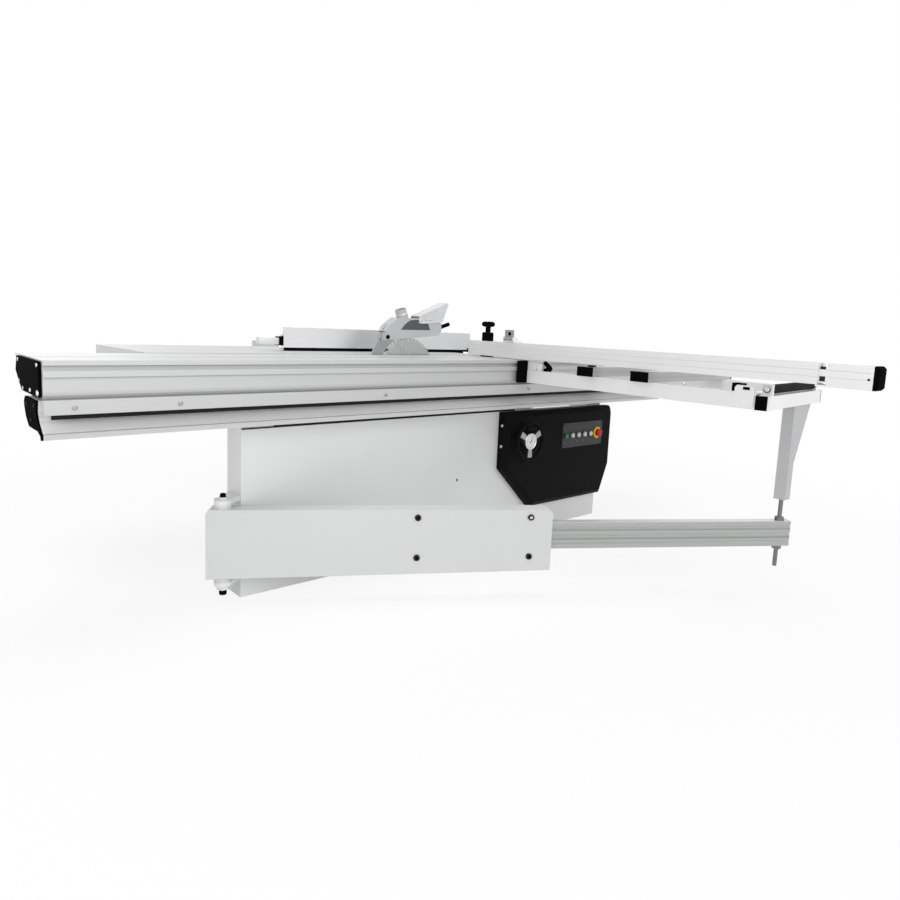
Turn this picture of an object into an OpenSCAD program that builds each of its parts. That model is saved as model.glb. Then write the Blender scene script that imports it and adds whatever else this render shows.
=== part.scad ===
// Sliding table saw: a fixed table, a long sliding carriage on a beam, a crosscut frame carried by a
// swing arm, a tilting saw unit with guard, a rip fence and a control housing on the front stand.
// The origin lies on the floor, straight under the centre of the main blade.
// X runs along the carriage towards the operator's end, Y across it towards the rip fence, Z up.

/* [Fixed table] */
// Height of the working surface above the floor
table_h = 850; // [830:1:880]
// Table length behind the blade centre
table_rear = 478; // [470:1:520]
// Table length ahead of the blade centre
table_front = 470; // [465:1:520]
// Table width across the cut
table_w = 607; // [590:1:680]
// Gap between the blade plane and the table edge
table_gap = 10; // [10:0.5:14]
// Depth of the table's rim
table_rim = 46; // [40:1:54]
// Thickness of the table's top skin
table_skin = 14; // [10:1:18]
// Thickness of the ribs under the table
table_rib = 12; // [8:1:18]
// Length of the outfeed table
outfeed_len = 650; // [560:1:760]
// Length of the side table along the cut
side_len = 540; // [480:1:560]
// Width of the side table across the cut
side_w = 780; // [680:1:900]
// Depth of the flanges of the outfeed and side tables
tray_h = 40; // [32:1:46]
// Sheet thickness of trays, stand and cabinet
sheet_t = 4; // [3:0.5:5]

/* [Carriage] */
// Length of the sliding carriage
carriage_len = 3200; // [3000:10:3400]
// Carriage overhang behind the blade centre at rest
carriage_rear = 1525; // [1450:5:1600]
// Width of the carriage
carriage_w = 366; // [350:1:380]
// Gap between the blade plane and the carriage edge
blade_gap = 22; // [22:1:30]
// Height of the carriage's near face
carriage_h = 148; // [140:1:156]
// Height of the carriage's hollow body
body_h = 102; // [98:1:106]
// Thickness of the lip beside the blade
lip_t = 12; // [9:1:14]
// Distance from the near face to the middle of the T slot
slot_y = 160; // [140:1:180]
// Width of the T slot's mouth
slot_mouth = 14; // [10:1:18]
// Width of the T slot's head
slot_head = 26; // [22:1:30]
// Wall thickness of the extrusions
wall = 7; // [5:0.5:8]
// Diameter of the rollers between carriage and beam
roller_d = 11.4; // [9:0.1:14]
// Length of the roller cage
cage_len = 1400; // [1200:100:1600]

/* [Beam and stand] */
// Length of the fixed beam
beam_len = 3000; // [2800:10:3150]
// Depth of the beam from its top to its underside
beam_h = 83; // [78:1:90]
// Distance from the carriage's near face to the front of the stand
stand_set = 150; // [145:1:160]
// Stand length behind the blade centre
stand_rear = 901; // [870:1:940]
// Stand length ahead of the blade centre
stand_front = 1137; // [1130:1:1180]
// Height of the stand
stand_h = 606; // [590:1:620]
// Depth of the stand's columns
column_d = 105; // [95:1:112]
// Width of the stand's columns
column_w = 120; // [100:1:130]
// Depth of the cabinet behind the stand's columns
cabinet_d = 705; // [690:1:715]
// Diameter of the anchor holes in the base plate
anchor_d = 14; // [10:1:18]
// Outer diameter of the dust port
dust_d = 120; // [100:1:140]

/* [Saw unit] */
// Diameter of the main blade
blade_d = 300; // [280:1:304]
// Height of the main blade above the table
blade_rise = 76; // [70:1:80]
// Thickness of the main blade
blade_t = 3.2; // [2.6:0.2:4]
// Number of teeth on the main blade
blade_teeth = 48; // [36:4:60]
// Diameter of the arbor at the blade
arbor_d = 30; // [25:1:32]
// Diameter of the blade flanges
flange_d = 80; // [70:1:90]
// Diameter of the scoring blade
scoring_d = 120; // [110:1:124]
// Diameter of the motor
motor_d = 156; // [140:1:160]
// Length of the motor
motor_len = 206; // [180:1:230]
// Diameter of the lift columns
column_rod = 28; // [24:1:30]
// Thickness of the riving knife
knife_t = 2.6; // [2:0.1:3]
// Width of the guard hood
hood_w = 56; // [48:1:60]
// Wall thickness of the guard hood
hood_t = 3; // [2:0.5:4]
// Outer diameter of the guard's dust spout
spout_d = 50; // [44:1:52]

/* [Crosscut frame] */
// Distance from the blade centre to the frame's rear side beam
frame_x = 359; // [340:1:400]
// Length of the frame along the carriage
frame_len = 590; // [560:1:640]
// Slant of the outer beam, in degrees
frame_skew = 5.3; // [0:0.1:6]
// Reach of the side beams from the carriage
frame_reach = 1022; // [980:1:1100]
// Width of the side beams
tube_w = 40; // [34:1:46]
// Height of the side beams
tube_h = 56; // [50:1:60]
// Width of the support bars
bar_w = 74; // [60:1:84]
// Height of the support bars
bar_h = 38; // [30:1:40]
// Diameter of the edge roller
edge_roller_d = 32; // [26:1:34]
// Width of the hanging post
post_w = 44; // [40:1:48]
// Length of the hanging post
post_len = 380; // [340:1:390]
// Diameter of the threaded support rod
rod_d = 16; // [14:1:18]
// Length of the main crosscut fence
fence_len = 1583; // [1500:1:1650]
// Thickness of the crosscut fence
fence_t = 54; // [48:1:60]
// Height of the crosscut fence
fence_h = 67; // [60:1:74]
// Length of the telescoping fence piece
extension_len = 128; // [110:1:200]

/* [Swing arm] */
// Angle of the arm away from the carriage at rest
arm_angle = 32; // [30:1:36]
// Length of the outer arm from its pivot
arm_len = 1165; // [1120:1:1220]
// Height of the outer arm
arm_h = 243; // [230:1:250]
// Thickness of the outer arm
arm_t = 64; // [58:1:66]
// Height of the inner arm
inner_h = 100; // [90:1:110]
// Thickness of the inner arm
inner_t = 34; // [30:1:35]
// Diameter of the pivot pin
pivot_d = 30; // [26:1:34]

/* [Controls and rip fence] */
// Depth of the control housing
housing_d = 55; // [45:1:60]
// Outer diameter of the handwheel
wheel_d = 190; // [170:1:200]
// Diameter of the push buttons
button_d = 24; // [20:1:26]
// Diameter of the stop button's head
stop_d = 40; // [36:1:44]
// Length of the rip fence
rip_len = 1088; // [1000:1:1150]
// Height of the rip fence
rip_h = 95; // [85:1:110]
// Thickness of the rip fence
rip_t = 40; // [34:1:46]
// Diameter of the round guide bar
guide_d = 36; // [32:1:38]
// Length of the round guide bar
guide_len = 1380; // [1300:1:1440]

/* [Fits] */
// Radial clearance of running fits
run_fit = 0.05; // [0.03:0.01:0.08]
// Gap between faces that pass each other
pass_gap = 0.4; // [0.3:0.1:0.6]

/* [Hidden] */
$fn = 48;

white_paint = "whitesmoke";
bare_alu = "silver";
black_plastic = [0.12, 0.12, 0.13];
grey_steel = [0.55, 0.56, 0.58];

// Carriage and beam
car_y = -(blade_gap + carriage_w);
car_z = table_h - carriage_h;
car_x = -carriage_rear;
body_z = table_h - body_h;
lip_bevel = 12;
lip_w = 36;
bulge_in = 48;
bulge_drop = 47;
waist_in = 98;
waist_drop = 82;
body_in = 130;
skirt_t = 12;
flange_h = 41;
flange_slope = 12;
web_in = 6;
cove_in = 3;
web_rib = 18;
rim_h = 14;
groove_h = 14;
groove_in = 8;
slot_lip = 10;
slot_head_h = 12;
cap_t = 8;
cap_in = 20;
cap_top = 4;
beam_top = body_z - roller_d - 2 * pass_gap;
beam_y0 = 64;
beam_y1 = 206;
beam_bulge = 16;
beam_foot_y = 166;
beam_lip_y = 15;
beam_lip_h = 20;
beam_cap_t = 6;
beam_z = beam_top - beam_h;

// Stand and cabinet
stand_y = car_y + stand_set;
column_y = stand_y + sheet_t;
cabinet_y = column_y + column_d + sheet_t;
cabinet_y1 = cabinet_y + cabinet_d;
cabinet_x0 = -(table_rear - 12);
cabinet_x1 = table_front - 14;
plate_t = 8;
cabinet_z1 = table_h - table_rim;
cabinet_flange = 30;
shoulder_y = car_y + carriage_w + 4;
shoulder_z = body_z - 6;
anchor_in = 60;
column_xs = [-stand_rear, table_front, stand_front - column_w];
door_x0 = -410;
door_x1 = 10;
door_z0 = 160;
door_z1 = 640;
door_lap = 16;
hinge_d = 8;
hinge_wall = 3;
hinge_zs = [240, 530];
hinge_len = 50;
hinge_x = door_x0 - door_lap - 12;
hinge_y = cabinet_y1 + 9;
hinge_r = hinge_d / 2 + hinge_wall;
dust_wall = 3;
dust_len = 50;
dust_z = 180;
dust_y = 250;

// Table
table_y1 = table_gap + table_w;
table_z = table_h - table_rim;
unit_bay_x = 322;
unit_bay_y = 165;
tray_gap = 2;
side_x = table_front - side_len;
side_y = table_y1 + tray_gap;
tray_z = table_h - tray_h;
bracket_t = 8;

// Saw unit
arbor_z = table_h + blade_rise - blade_d / 2;
flange_t = 5;
neck_t = 6;
housing_y0 = 12;
housing_y1 = 100;
spindle_d = 40;
spindle_wall = 12;
pulley_gap = 4;
pulley_w = 36;
pulley_y = housing_y1 + pulley_gap;
arbor_pulley_d = 72;
motor_pulley_d = 96;
motor_x = 110;
motor_drop = 175;
motor_z = arbor_z - motor_drop;
motor_shaft_d = 24;
motor_shaft_in = 40;
belt_t = 5;
slide_y0 = 45;
slide_y1 = 95;
slide_h = 70;
slide_drop = 26;
slide_half = 270;
lift_x = 240;
lift_y = (slide_y0 + slide_y1) / 2;
lift_up = 4;
lift_down = 58;
slide_top = arbor_z - slide_drop;
slide_bot = slide_top - slide_h;
stub_z = slide_top + lift_up + 22;
stub_h = 20;
foot_bar_z = slide_bot - lift_down - 62;
cradle_x = 300;
cradle_t = 10;
shoe_t = 18;
rail_in = 268;
rail_out = 298;
rail_t = 14;
rail_back = 12;
rail_span = 44;
shoe_a0 = 4;
shoe_a1 = 40;
scoring_x = 232;
scoring_t = 3;
scoring_drop = 5;
scoring_shaft = 20;
scoring_wall = 11;
scoring_y1 = 44;
scoring_z = table_h - scoring_drop - scoring_d / 2;
bracket_y = housing_y1 + pulley_gap + pulley_w + 6;
knife_gap = 6;
knife_w = 56;
knife_cut = 85;
knife_hold_x = 150;
hood_bolt_d = 10;
guard_x = -22;
hood_bolt_x = guard_x - 113;
hood_bolt_z = table_h + 77;
visor_pin_d = 8;
visor_x = guard_x + 70;
visor_z = table_h + 150;
visor_t = 3;
hood_top = 162;
spout_x = guard_x - 14;
spout_tilt = 19;
spout_wall = 3;
spout_len = 30;
spout_foot = 10;
spout_in = 11;

// Crosscut frame
pad_t = 15;
frame_z = car_z + 50;
frame_top = frame_z + tube_h;
frame_y = car_y - pad_t;
frame_end = frame_y - frame_reach;
frame_x1 = frame_x + frame_len;
tube_wall = 4;
outer_w = 38;
outer_h = 48;
outer_top = frame_z + outer_h;
outer_len = frame_len / cos(frame_skew);
end_cap_t = 6;
bar_over = 25;
bar_x0 = frame_x - bar_over;
bar_len = frame_len + 2 * bar_over;
bar_cap_t = 8;
bar_ys = [frame_y - 335, frame_y - 588];
roller_bracket_t = 14;
roller_axle_d = 12;
roller_in = 46;
roller_len = frame_len - 2 * (roller_in + roller_bracket_t + pass_gap);
roller_z = outer_top + 20;
fence_x = frame_x - 17;
fence_z = table_h + 6;
fence_y1 = -34;
fence_y0 = fence_y1 - fence_len;
fence_wall = 5;
fence_mouth = 10;
fence_slot = 6;
fence_top = fence_z + fence_h;
flip_x = fence_x - 6;
flip_z = fence_top + 16;
flip_pin_d = 8;
clamp_l = 46;
clamp_h = 41;
stem_d = 14;
stem_in = 20;
fence_mid = fence_x + fence_t / 2;
fence_pivot_y = fence_y1 - 100;
fence_pin_d = 16;
ext_gap = 26;
ext_y1 = fence_y0 - ext_gap;
ext_y0 = ext_y1 - extension_len;
ext_core_in = 380;
ext_cap_t = 16;
stop_y = fence_pivot_y - 171;
stop_w = 64;
knob_y = frame_y - 99;
knob_bar_l = 40;

// Swing arm
arm_px = -stand_rear - 67;
arm_py = stand_y - 6;
arm_z = 95;
arm_top = arm_z + arm_h;
arm_tail = 52;
arm_wall = 4;
arm_boss_h = 14;
arm_rise = 14;
inner_z = arm_z + 91;
inner_start = 440;
inner_past = 40;
guide_roller_d = 46;
guide_bolt_d = 16;
guide_ss = [arm_len - 497, arm_len - 83];
guide_zs = [inner_z - pass_gap - guide_roller_d / 2, inner_z + inner_h + pass_gap + guide_roller_d / 2];
pivot_plate_t = 16;
rod_reach = 2103;
post_x = arm_px + rod_reach * cos(arm_angle);
post_y = arm_py - rod_reach * sin(arm_angle);
post_z = frame_z - post_len;
rod_low = 85;
nut_w = 30;
nut_h = 14;
post_plate_t = 8;
cross_w = 48;

// Controls
housing_front = stand_y - housing_d;
housing_past = 50;
housing_len = 771;
housing_x1 = stand_front + housing_past;
housing_x0 = stand_front - housing_len;
housing_z0 = 129;
housing_z1 = 600;
housing_waist = 333;
housing_bevel = 22;
panel_t = 3;
panel_x0 = 768;
panel_x1 = 1090;
panel_z0 = 403;
panel_z1 = 528;
panel_face = housing_front - panel_t;
button_xs = [for (i = [0:4]) 790 + 49 * i];
stop_x = 1050;
button_z = 465;
bezel_d = button_d + 6;
bezel_h = 5;
button_out = 14;
button_in = 4;
button_play = 0.3;
button_pit = 16;
wheel_x = 487;
wheel_z = 466;
wheel_tube = 18;
wheel_y = housing_front - 39;
wheel_shaft = 16;
hub_d = 50;
dial_d = 76;

// Rip fence
rip_y = 225;
rip_z = table_h + 5;
rip_glide = 0.4;
guide_x = table_front + 50;
rip_past = 73;
rip_x0 = guide_x + rip_past - rip_len;
guide_z = table_h - 30;
guide_y0 = 20;
stud_d = 16;
stud_ys = [60, 560, 1000, 1340];
carrier_w = 80;
carrier_wall = 11;
lock_in = 20;
lock_y = rip_y + rip_t + 20;
lock_z = rip_z + rip_h / 2;

// Extrudes an outline drawn in (Y, Z) along X.
module along_x(len) {
    rotate([90, 0, 90]) linear_extrude(len) children();
}

// Extrudes an outline drawn in (X, Z) along Y.
module along_y(len) {
    translate([0, len, 0]) rotate([90, 0, 0]) linear_extrude(len) children();
}

// Round bar along X, Y or minus Y from the local origin.
module bar_x(d, len) {
    rotate([0, 90, 0]) cylinder(d = d, h = len);
}

module bar_y(d, len) {
    rotate([-90, 0, 0]) cylinder(d = d, h = len);
}

// Round bar along Y about the local origin, with ball ends.
module round_bar(d, len) {
    translate([0, -len / 2, 0]) bar_y(d, len);
    for (y = [-len / 2, len / 2]) translate([0, y, 0]) sphere(d = d);
}

// Rectangle given by two opposite corners.
module span(a, b) {
    translate(a) square(b - a);
}

// Box given by two opposite corners.
module block(a, b) {
    translate(a) cube(b - a);
}

// Sector of an annulus in the (Y, Z) plane; the angle counts from straight down towards +Y.
module arc_band(r_in, r_out, from, to) {
    reach = 2 * r_out;
    intersection() {
        difference() {
            circle(r = r_out, $fn = 96);
            circle(r = r_in, $fn = 96);
        }
        polygon([
            [0, 0],
            for (a = [from, (from + to) / 2, to]) [reach * sin(a), -reach * cos(a)]
        ]);
    }
}

// Fixed table: a ribbed casting, open at the edge beside the saw unit.
module cast_table() {
    pocket_n = 4;
    x0 = -table_rear;
    x1 = table_front;
    bay_y1 = table_gap + unit_bay_y;
    pitch = (x1 - x0 - table_rib) / pocket_n;
    rows = 2;
    row_pitch = (table_y1 - table_rib - bay_y1) / rows;
    color(grey_steel) difference() {
        block([x0, table_gap, table_z], [x1, table_y1, table_h]);
        block([-unit_bay_x, table_gap - 1, table_z - 1], [unit_bay_x, bay_y1, table_h - table_skin]);
        for (i = [0:pocket_n - 1], j = [0:rows - 1])
            translate([x0 + table_rib + pitch * i, bay_y1 + table_rib + row_pitch * j, table_z - 1])
                cube([pitch - table_rib, row_pitch - table_rib, table_rim - table_skin + 1]);
    }
}

// Folded sheet tray, open below, with cross ribs.
module tray(size, ribs) {
    rib_h = tray_h / 2;
    difference() {
        cube([size.x, size.y, tray_h]);
        translate([sheet_t, sheet_t, -1])
            cube([size.x - 2 * sheet_t, size.y - 2 * sheet_t, tray_h - sheet_t + 1]);
    }
    for (i = [1:ribs])
        translate([size.x * i / (ribs + 1), 0, tray_h - rib_h]) cube([sheet_t, size.y, rib_h]);
}

module outfeed_table() {
    color(white_paint)
        translate([-(table_rear + tray_gap + outfeed_len), table_gap, tray_z])
            tray([outfeed_len, table_w], 3);
}

module side_table() {
    color(white_paint) translate([side_x, side_y, tray_z]) tray([side_len, side_w], 3);
}

// Front sheet of the stand with its access hole.
module front_stand() {
    hole_x = 119;
    hole_z = 306;
    hole_d = 12;
    color(white_paint) difference() {
        block([-stand_rear, stand_y, 0], [stand_front, column_y, stand_h]);
        translate([hole_x, stand_y - 1, hole_z]) bar_y(hole_d, sheet_t + 2);
    }
}

// Box columns of the stand, each with the saddle that carries the beam.
module stand_columns() {
    color(white_paint) for (x = column_xs) {
        difference() {
            block([x, column_y, 0], [x + column_w, column_y + column_d, stand_h]);
            block([x + sheet_t, column_y + sheet_t, plate_t],
                [x + column_w - sheet_t, column_y + column_d - sheet_t, stand_h - plate_t]);
        }
        translate([x, 0, 0]) along_x(column_w) saddle_outline();
    }
}

// Saddle: seated on the column's top, flat under the beam.
module saddle_outline() {
    toe_h = 12;
    polygon([
        [car_y + beam_lip_y + 55, beam_z], [car_y + beam_foot_y, beam_z],
        [column_y + column_d, stand_h + toe_h], [column_y + column_d, stand_h],
        [column_y, stand_h], [car_y + beam_lip_y + 55, beam_z - toe_h]
    ]);
}

// Outline of the beam, with Y counted from the carriage's near face and Z from the beam's top.
module beam_outline() {
    flank = 14;
    polygon([
        [beam_y0, 0], [beam_y1, 0], [beam_y1 + beam_bulge, -flank], [beam_y1 + beam_bulge, -2 * flank],
        [beam_y1 - 4, -beam_h + 24], [beam_foot_y, -beam_h], [beam_y0 - 6, -beam_h],
        [beam_lip_y + 11, -beam_h - 9], [beam_lip_y + 6, -beam_h - beam_lip_h],
        [beam_lip_y, -beam_h - beam_lip_h], [beam_lip_y, -beam_h - 5], [beam_lip_y + 7, -beam_h - 2],
        [beam_y0 - 4, -beam_h + 27], [beam_y0 + 9, -beam_h + 52]
    ]);
}

// Hollow chambers of the beam on each side of its middle web.
module beam_chambers() {
    mid = (beam_y0 + beam_y1) / 2;
    low = -beam_h + wall;
    polygon([
        [beam_y0 + wall + 4, -wall], [mid - wall / 2, -wall], [mid - wall / 2, low],
        [beam_y0 + wall, low], [beam_y0 + wall + 10, -beam_h / 2]
    ]);
    polygon([
        [mid + wall / 2, -wall], [beam_y1 - 2, -wall], [beam_y1 + beam_bulge - wall, -21],
        [beam_y1 - 8, -beam_h + 30], [beam_foot_y - 3, low], [mid + wall / 2, low]
    ]);
}

module slide_beam() {
    color(bare_alu) translate([car_x, car_y, beam_top]) along_x(beam_len) difference() {
        beam_outline();
        beam_chambers();
    }
}

module beam_caps() {
    color(black_plastic) for (x = [car_x - beam_cap_t, car_x + beam_len])
        translate([x, car_y, beam_top]) along_x(beam_cap_t) beam_outline();
}

// Base plate with four anchor holes.
module base_plate() {
    color(white_paint) difference() {
        block([cabinet_x0, cabinet_y, 0], [cabinet_x1, cabinet_y1, plate_t]);
        for (x = [cabinet_x0 + anchor_in, cabinet_x1 - anchor_in],
            y = [cabinet_y + anchor_in, cabinet_y1 - anchor_in])
            translate([x, y, -1]) cylinder(d = anchor_d, h = plate_t + 2);
    }
}

// Triangular gusset that carries a tray; drawn from the cabinet wall outwards.
module tray_gusset(wall_at, table_edge, reach) {
    tip_h = 30;
    root_h = 270;
    polygon([
        [wall_at, table_z], [table_edge, table_z], [table_edge, tray_z], [wall_at + reach, tray_z],
        [wall_at + reach, tray_z - tip_h], [wall_at, tray_z - root_h]
    ]);
}

// Outline of a cabinet end wall; its shoulder stays below the carriage.
module end_wall() {
    polygon([
        [cabinet_y, plate_t], [cabinet_y1, plate_t], [cabinet_y1, cabinet_z1], [shoulder_y, cabinet_z1],
        [shoulder_y, shoulder_z], [cabinet_y, shoulder_z]
    ]);
}

// End walls of the cabinet; the rear one has the dust port and the gussets of the outfeed table.
module cabinet_ends() {
    gusset_reach = 480;
    gusset_in = 70;
    gusset_out = 120;
    color(white_paint) {
        difference() {
            union() {
                translate([cabinet_x0, 0, 0]) along_x(sheet_t) end_wall();
                block([cabinet_x0, cabinet_y, plate_t],
                    [cabinet_x0 + cabinet_flange, cabinet_y + sheet_t, shoulder_z]);
                translate([cabinet_x0 - dust_len, dust_y, dust_z]) bar_x(dust_d, dust_len);
            }
            translate([cabinet_x0 - dust_len - 1, dust_y, dust_z])
                bar_x(dust_d - 2 * dust_wall, dust_len + sheet_t + 2);
        }
        for (y = [table_gap + gusset_in, table_y1 - gusset_out])
            translate([0, y, 0]) mirror([1, 0, 0]) along_y(bracket_t)
                tray_gusset(-cabinet_x0, table_rear + tray_gap, gusset_reach);
        translate([cabinet_x1 - sheet_t, 0, 0]) along_x(sheet_t) end_wall();
        block([cabinet_x1 - cabinet_flange, cabinet_y, plate_t],
            [cabinet_x1, cabinet_y + sheet_t, shoulder_z]);
    }
}

// Side wall of the cabinet with the door opening, hinge ears and gussets of the side table.
module cabinet_side() {
    gusset_reach = 640;
    gusset_in = 60;
    ear_h = 8;
    color(white_paint) {
        difference() {
            block([cabinet_x0 + sheet_t, cabinet_y1 - sheet_t, plate_t],
                [cabinet_x1 - sheet_t, cabinet_y1, cabinet_z1]);
            block([door_x0, cabinet_y1 - sheet_t - 1, door_z0], [door_x1, cabinet_y1 + 1, door_z1]);
        }
        for (x = [door_x1 + gusset_in, cabinet_x1 - gusset_in])
            translate([x, 0, 0]) along_x(bracket_t) tray_gusset(cabinet_y1, side_y, gusset_reach);
        for (z = hinge_zs) {
            for (ear = [z - pass_gap - ear_h, z + hinge_len + pass_gap])
                block([hinge_x - hinge_r, cabinet_y1, ear],
                    [hinge_x + hinge_r, hinge_y + hinge_r, ear + ear_h]);
            translate([hinge_x, hinge_y, z - ear_h]) cylinder(d = hinge_d, h = hinge_len + 2 * ear_h);
        }
    }
}

// Hinged door with a rounded pull recess.
module cabinet_door() {
    face = cabinet_y1 + pass_gap;
    pull_d = 70;
    pull_t = 2;
    color(white_paint) difference() {
        union() {
            block([door_x0 - door_lap, face, door_z0 - door_lap],
                [door_x1 + door_lap, face + sheet_t, door_z1 + door_lap]);
            for (z = hinge_zs) {
                block([hinge_x, face, z], [door_x0, face + sheet_t, z + hinge_len]);
                translate([hinge_x, hinge_y, z]) cylinder(r = hinge_r, h = hinge_len);
            }
        }
        for (z = hinge_zs)
            translate([hinge_x, hinge_y, z - 1]) cylinder(d = hinge_d + 2 * run_fit, h = hinge_len + 2);
        translate([door_x1 - pull_d / 2, face + sheet_t - pull_t, (door_z0 + door_z1) / 2])
            bar_y(pull_d, sheet_t);
    }
}

// Plate of the arm's pivot, reaching from the stand's column to the pin.
module pivot_plate() {
    plate_r = 30;
    translate([arm_px, arm_py]) circle(r = plate_r);
    polygon([
        [-stand_rear, column_y], [-stand_rear, column_y + 3 * plate_r],
        [arm_px, arm_py + plate_r], [arm_px, arm_py - plate_r]
    ]);
}

// Fixed pivot of the swing arm: two plates and the pin with its nut below.
module arm_pivot() {
    low = arm_z - arm_boss_h - pass_gap - pivot_plate_t;
    high = arm_top + arm_boss_h + pass_gap;
    pin_over = 8;
    pin_nut_d = 46;
    thread_d = 24;
    thread_l = 36;
    color(white_paint) {
        for (z = [low, high]) translate([0, 0, z]) linear_extrude(pivot_plate_t) pivot_plate();
        translate([arm_px, arm_py, 0]) {
            translate([0, 0, low]) cylinder(d = pivot_d, h = high + pivot_plate_t + pin_over - low);
            translate([0, 0, low - nut_h]) cylinder(d = pin_nut_d, h = nut_h, $fn = 6);
            translate([0, 0, low - thread_l]) cylinder(d = thread_d, h = thread_l);
        }
    }
}

// Outline of the control housing in (X, Z), drawn in by a margin.
module housing_outline(margin) {
    slant = 209;
    slant_right = 56;
    waist_right = 290;
    corner = 14;
    polygon([
        [housing_x0 + margin, housing_z1 - margin], [housing_x1 - corner - margin, housing_z1 - margin],
        [housing_x1 - margin, housing_z1 - corner - margin], [housing_x1 - margin, waist_right],
        [housing_x1 - slant_right - margin, housing_z0 + margin],
        [housing_x0 + slant + margin / 2, housing_z0 + margin],
        [housing_x0 + margin, housing_waist + margin / 2]
    ]);
}

// Moulded control housing with bevelled edges, bored for the handwheel and the buttons.
module control_housing() {
    rim = 1;
    color(black_plastic) difference() {
        union() {
            translate([0, housing_front + housing_bevel, 0])
                along_y(housing_d - housing_bevel) housing_outline(0);
            hull() {
                translate([0, housing_front + housing_bevel, 0]) along_y(rim) housing_outline(0);
                translate([0, housing_front, 0]) along_y(rim) housing_outline(housing_bevel);
            }
        }
        translate([wheel_x, housing_front - 1, wheel_z]) bar_y(wheel_shaft + 2 * run_fit, button_pit + 1);
        for (x = concat(button_xs, [stop_x]))
            translate([x, housing_front - 1, button_z])
                bar_y(button_d + 2 * button_play, button_pit + 1);
    }
}

// Button panel with a raised bezel round each button.
module button_panel() {
    color(grey_steel) difference() {
        union() {
            block([panel_x0, panel_face, panel_z0], [panel_x1, housing_front, panel_z1]);
            for (x = concat(button_xs, [stop_x]))
                translate([x, panel_face - bezel_h, button_z]) bar_y(bezel_d, bezel_h);
        }
        for (x = concat(button_xs, [stop_x]))
            translate([x, panel_face - bezel_h - 1, button_z])
                bar_y(button_d + 2 * button_play, bezel_h + panel_t + 2);
    }
}

// Push button with a slightly domed face.
module push_button(x, tint) {
    dome = 2;
    front = panel_face - button_out;
    color(tint) translate([x, front, button_z]) rotate([-90, 0, 0]) rotate_extrude() polygon([
        [0, 0], [button_d / 2 - 2 * dome, 0], [button_d / 2, dome],
        [button_d / 2, button_out + panel_t + 2], [0, button_out + panel_t + 2]
    ]);
}

module green_button() {
    push_button(button_xs[0], "green");
}

module white_button_1() {
    push_button(button_xs[1], "white");
}

module white_button_2() {
    push_button(button_xs[2], "white");
}

module white_button_3() {
    push_button(button_xs[3], "white");
}

module white_button_4() {
    push_button(button_xs[4], "white");
}

// Mushroom head of the emergency stop on its stem.
module stop_button() {
    head_h = 14;
    under = panel_face - bezel_h - button_in - 1;
    r = stop_d / 2;
    color("red") translate([stop_x, under, button_z]) rotate([90, 0, 0]) rotate_extrude() polygon([
        [0, head_h], [r - 8, head_h], [r - 3, head_h - 3], [r, head_h - 9], [r - 2, 0],
        [button_d / 2, 0], [button_d / 2, under - housing_front - 2], [0, under - housing_front - 2]
    ]);
}

// Handwheel on its shaft: round rim, three flat spokes, hub with the gravity dial, and a folded grip.
module handwheel() {
    rim_r = (wheel_d - wheel_tube) / 2;
    spoke_t = 6;
    spoke_root = 11;
    spoke_tip = 16;
    spoke_in = dial_d / 2 - 2;
    hub_h = 30;
    dial_h = 12;
    hub_y = housing_front - pass_gap;
    grip_d = 20;
    grip_l = 44;
    grip_r = rim_r - 23;
    color(black_plastic) translate([wheel_x, 0, wheel_z]) {
        translate([0, hub_y - hub_h, 0]) bar_y(hub_d, hub_h);
        translate([0, hub_y - hub_h - dial_h, 0]) bar_y(dial_d, dial_h);
        translate([0, hub_y - 1, 0]) bar_y(wheel_shaft, button_pit - 1);
        translate([0, wheel_y, 0]) {
            rotate([90, 0, 0]) rotate_extrude($fn = 96) translate([rim_r, 0]) circle(d = wheel_tube);
            for (a = [-30, 90, 210])
                rotate([0, a, 0]) translate([0, -spoke_t / 2, 0]) along_y(spoke_t) polygon([
                    [spoke_in, -spoke_root], [rim_r, -spoke_tip], [rim_r, spoke_tip], [spoke_in, spoke_root]
                ]);
            translate([0, 0, grip_r]) {
                cylinder(d = grip_d / 2, h = rim_r - grip_r);
                translate([-grip_l / 2, 0, 0]) bar_x(grip_d, grip_l);
                for (x = [-grip_l / 2, grip_l / 2]) translate([x, 0, 0]) sphere(d = grip_d);
            }
        }
    }
}

// Round guide bar of the rip fence, held by studs in the tables' edges.
module guide_bar() {
    color(grey_steel) {
        translate([guide_x, guide_y0, guide_z]) bar_y(guide_d, guide_len);
        for (y = stud_ys) translate([table_front, y, guide_z]) bar_x(stud_d, guide_x - table_front);
    }
}

// Curved rails under the table; they centre on the line of the cut at the table's surface.
module trunnion_rails() {
    side_x0 = cradle_x + cradle_t + pass_gap;
    upright_w = 50;
    edge = 4;
    color(grey_steel) for (s = [0, 1]) mirror([s, 0, 0]) {
        translate([side_x0, 0, table_h]) along_x(shoe_t) {
            arc_band(rail_in - rail_t, rail_in, -rail_span, rail_span);
            arc_band(rail_out, rail_out + rail_t, -rail_span, rail_span);
        }
        translate([side_x0 + shoe_t, 0, table_h]) along_x(rail_back) {
            arc_band(rail_in - rail_t - edge, rail_out + rail_t + edge, -rail_span - 1, rail_span + 1);
            span([30, -rail_in], [30 + upright_w, -table_rim]);
            span([150, -rail_in + 60], [150 + upright_w, -table_rim]);
        }
    }
}

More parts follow.
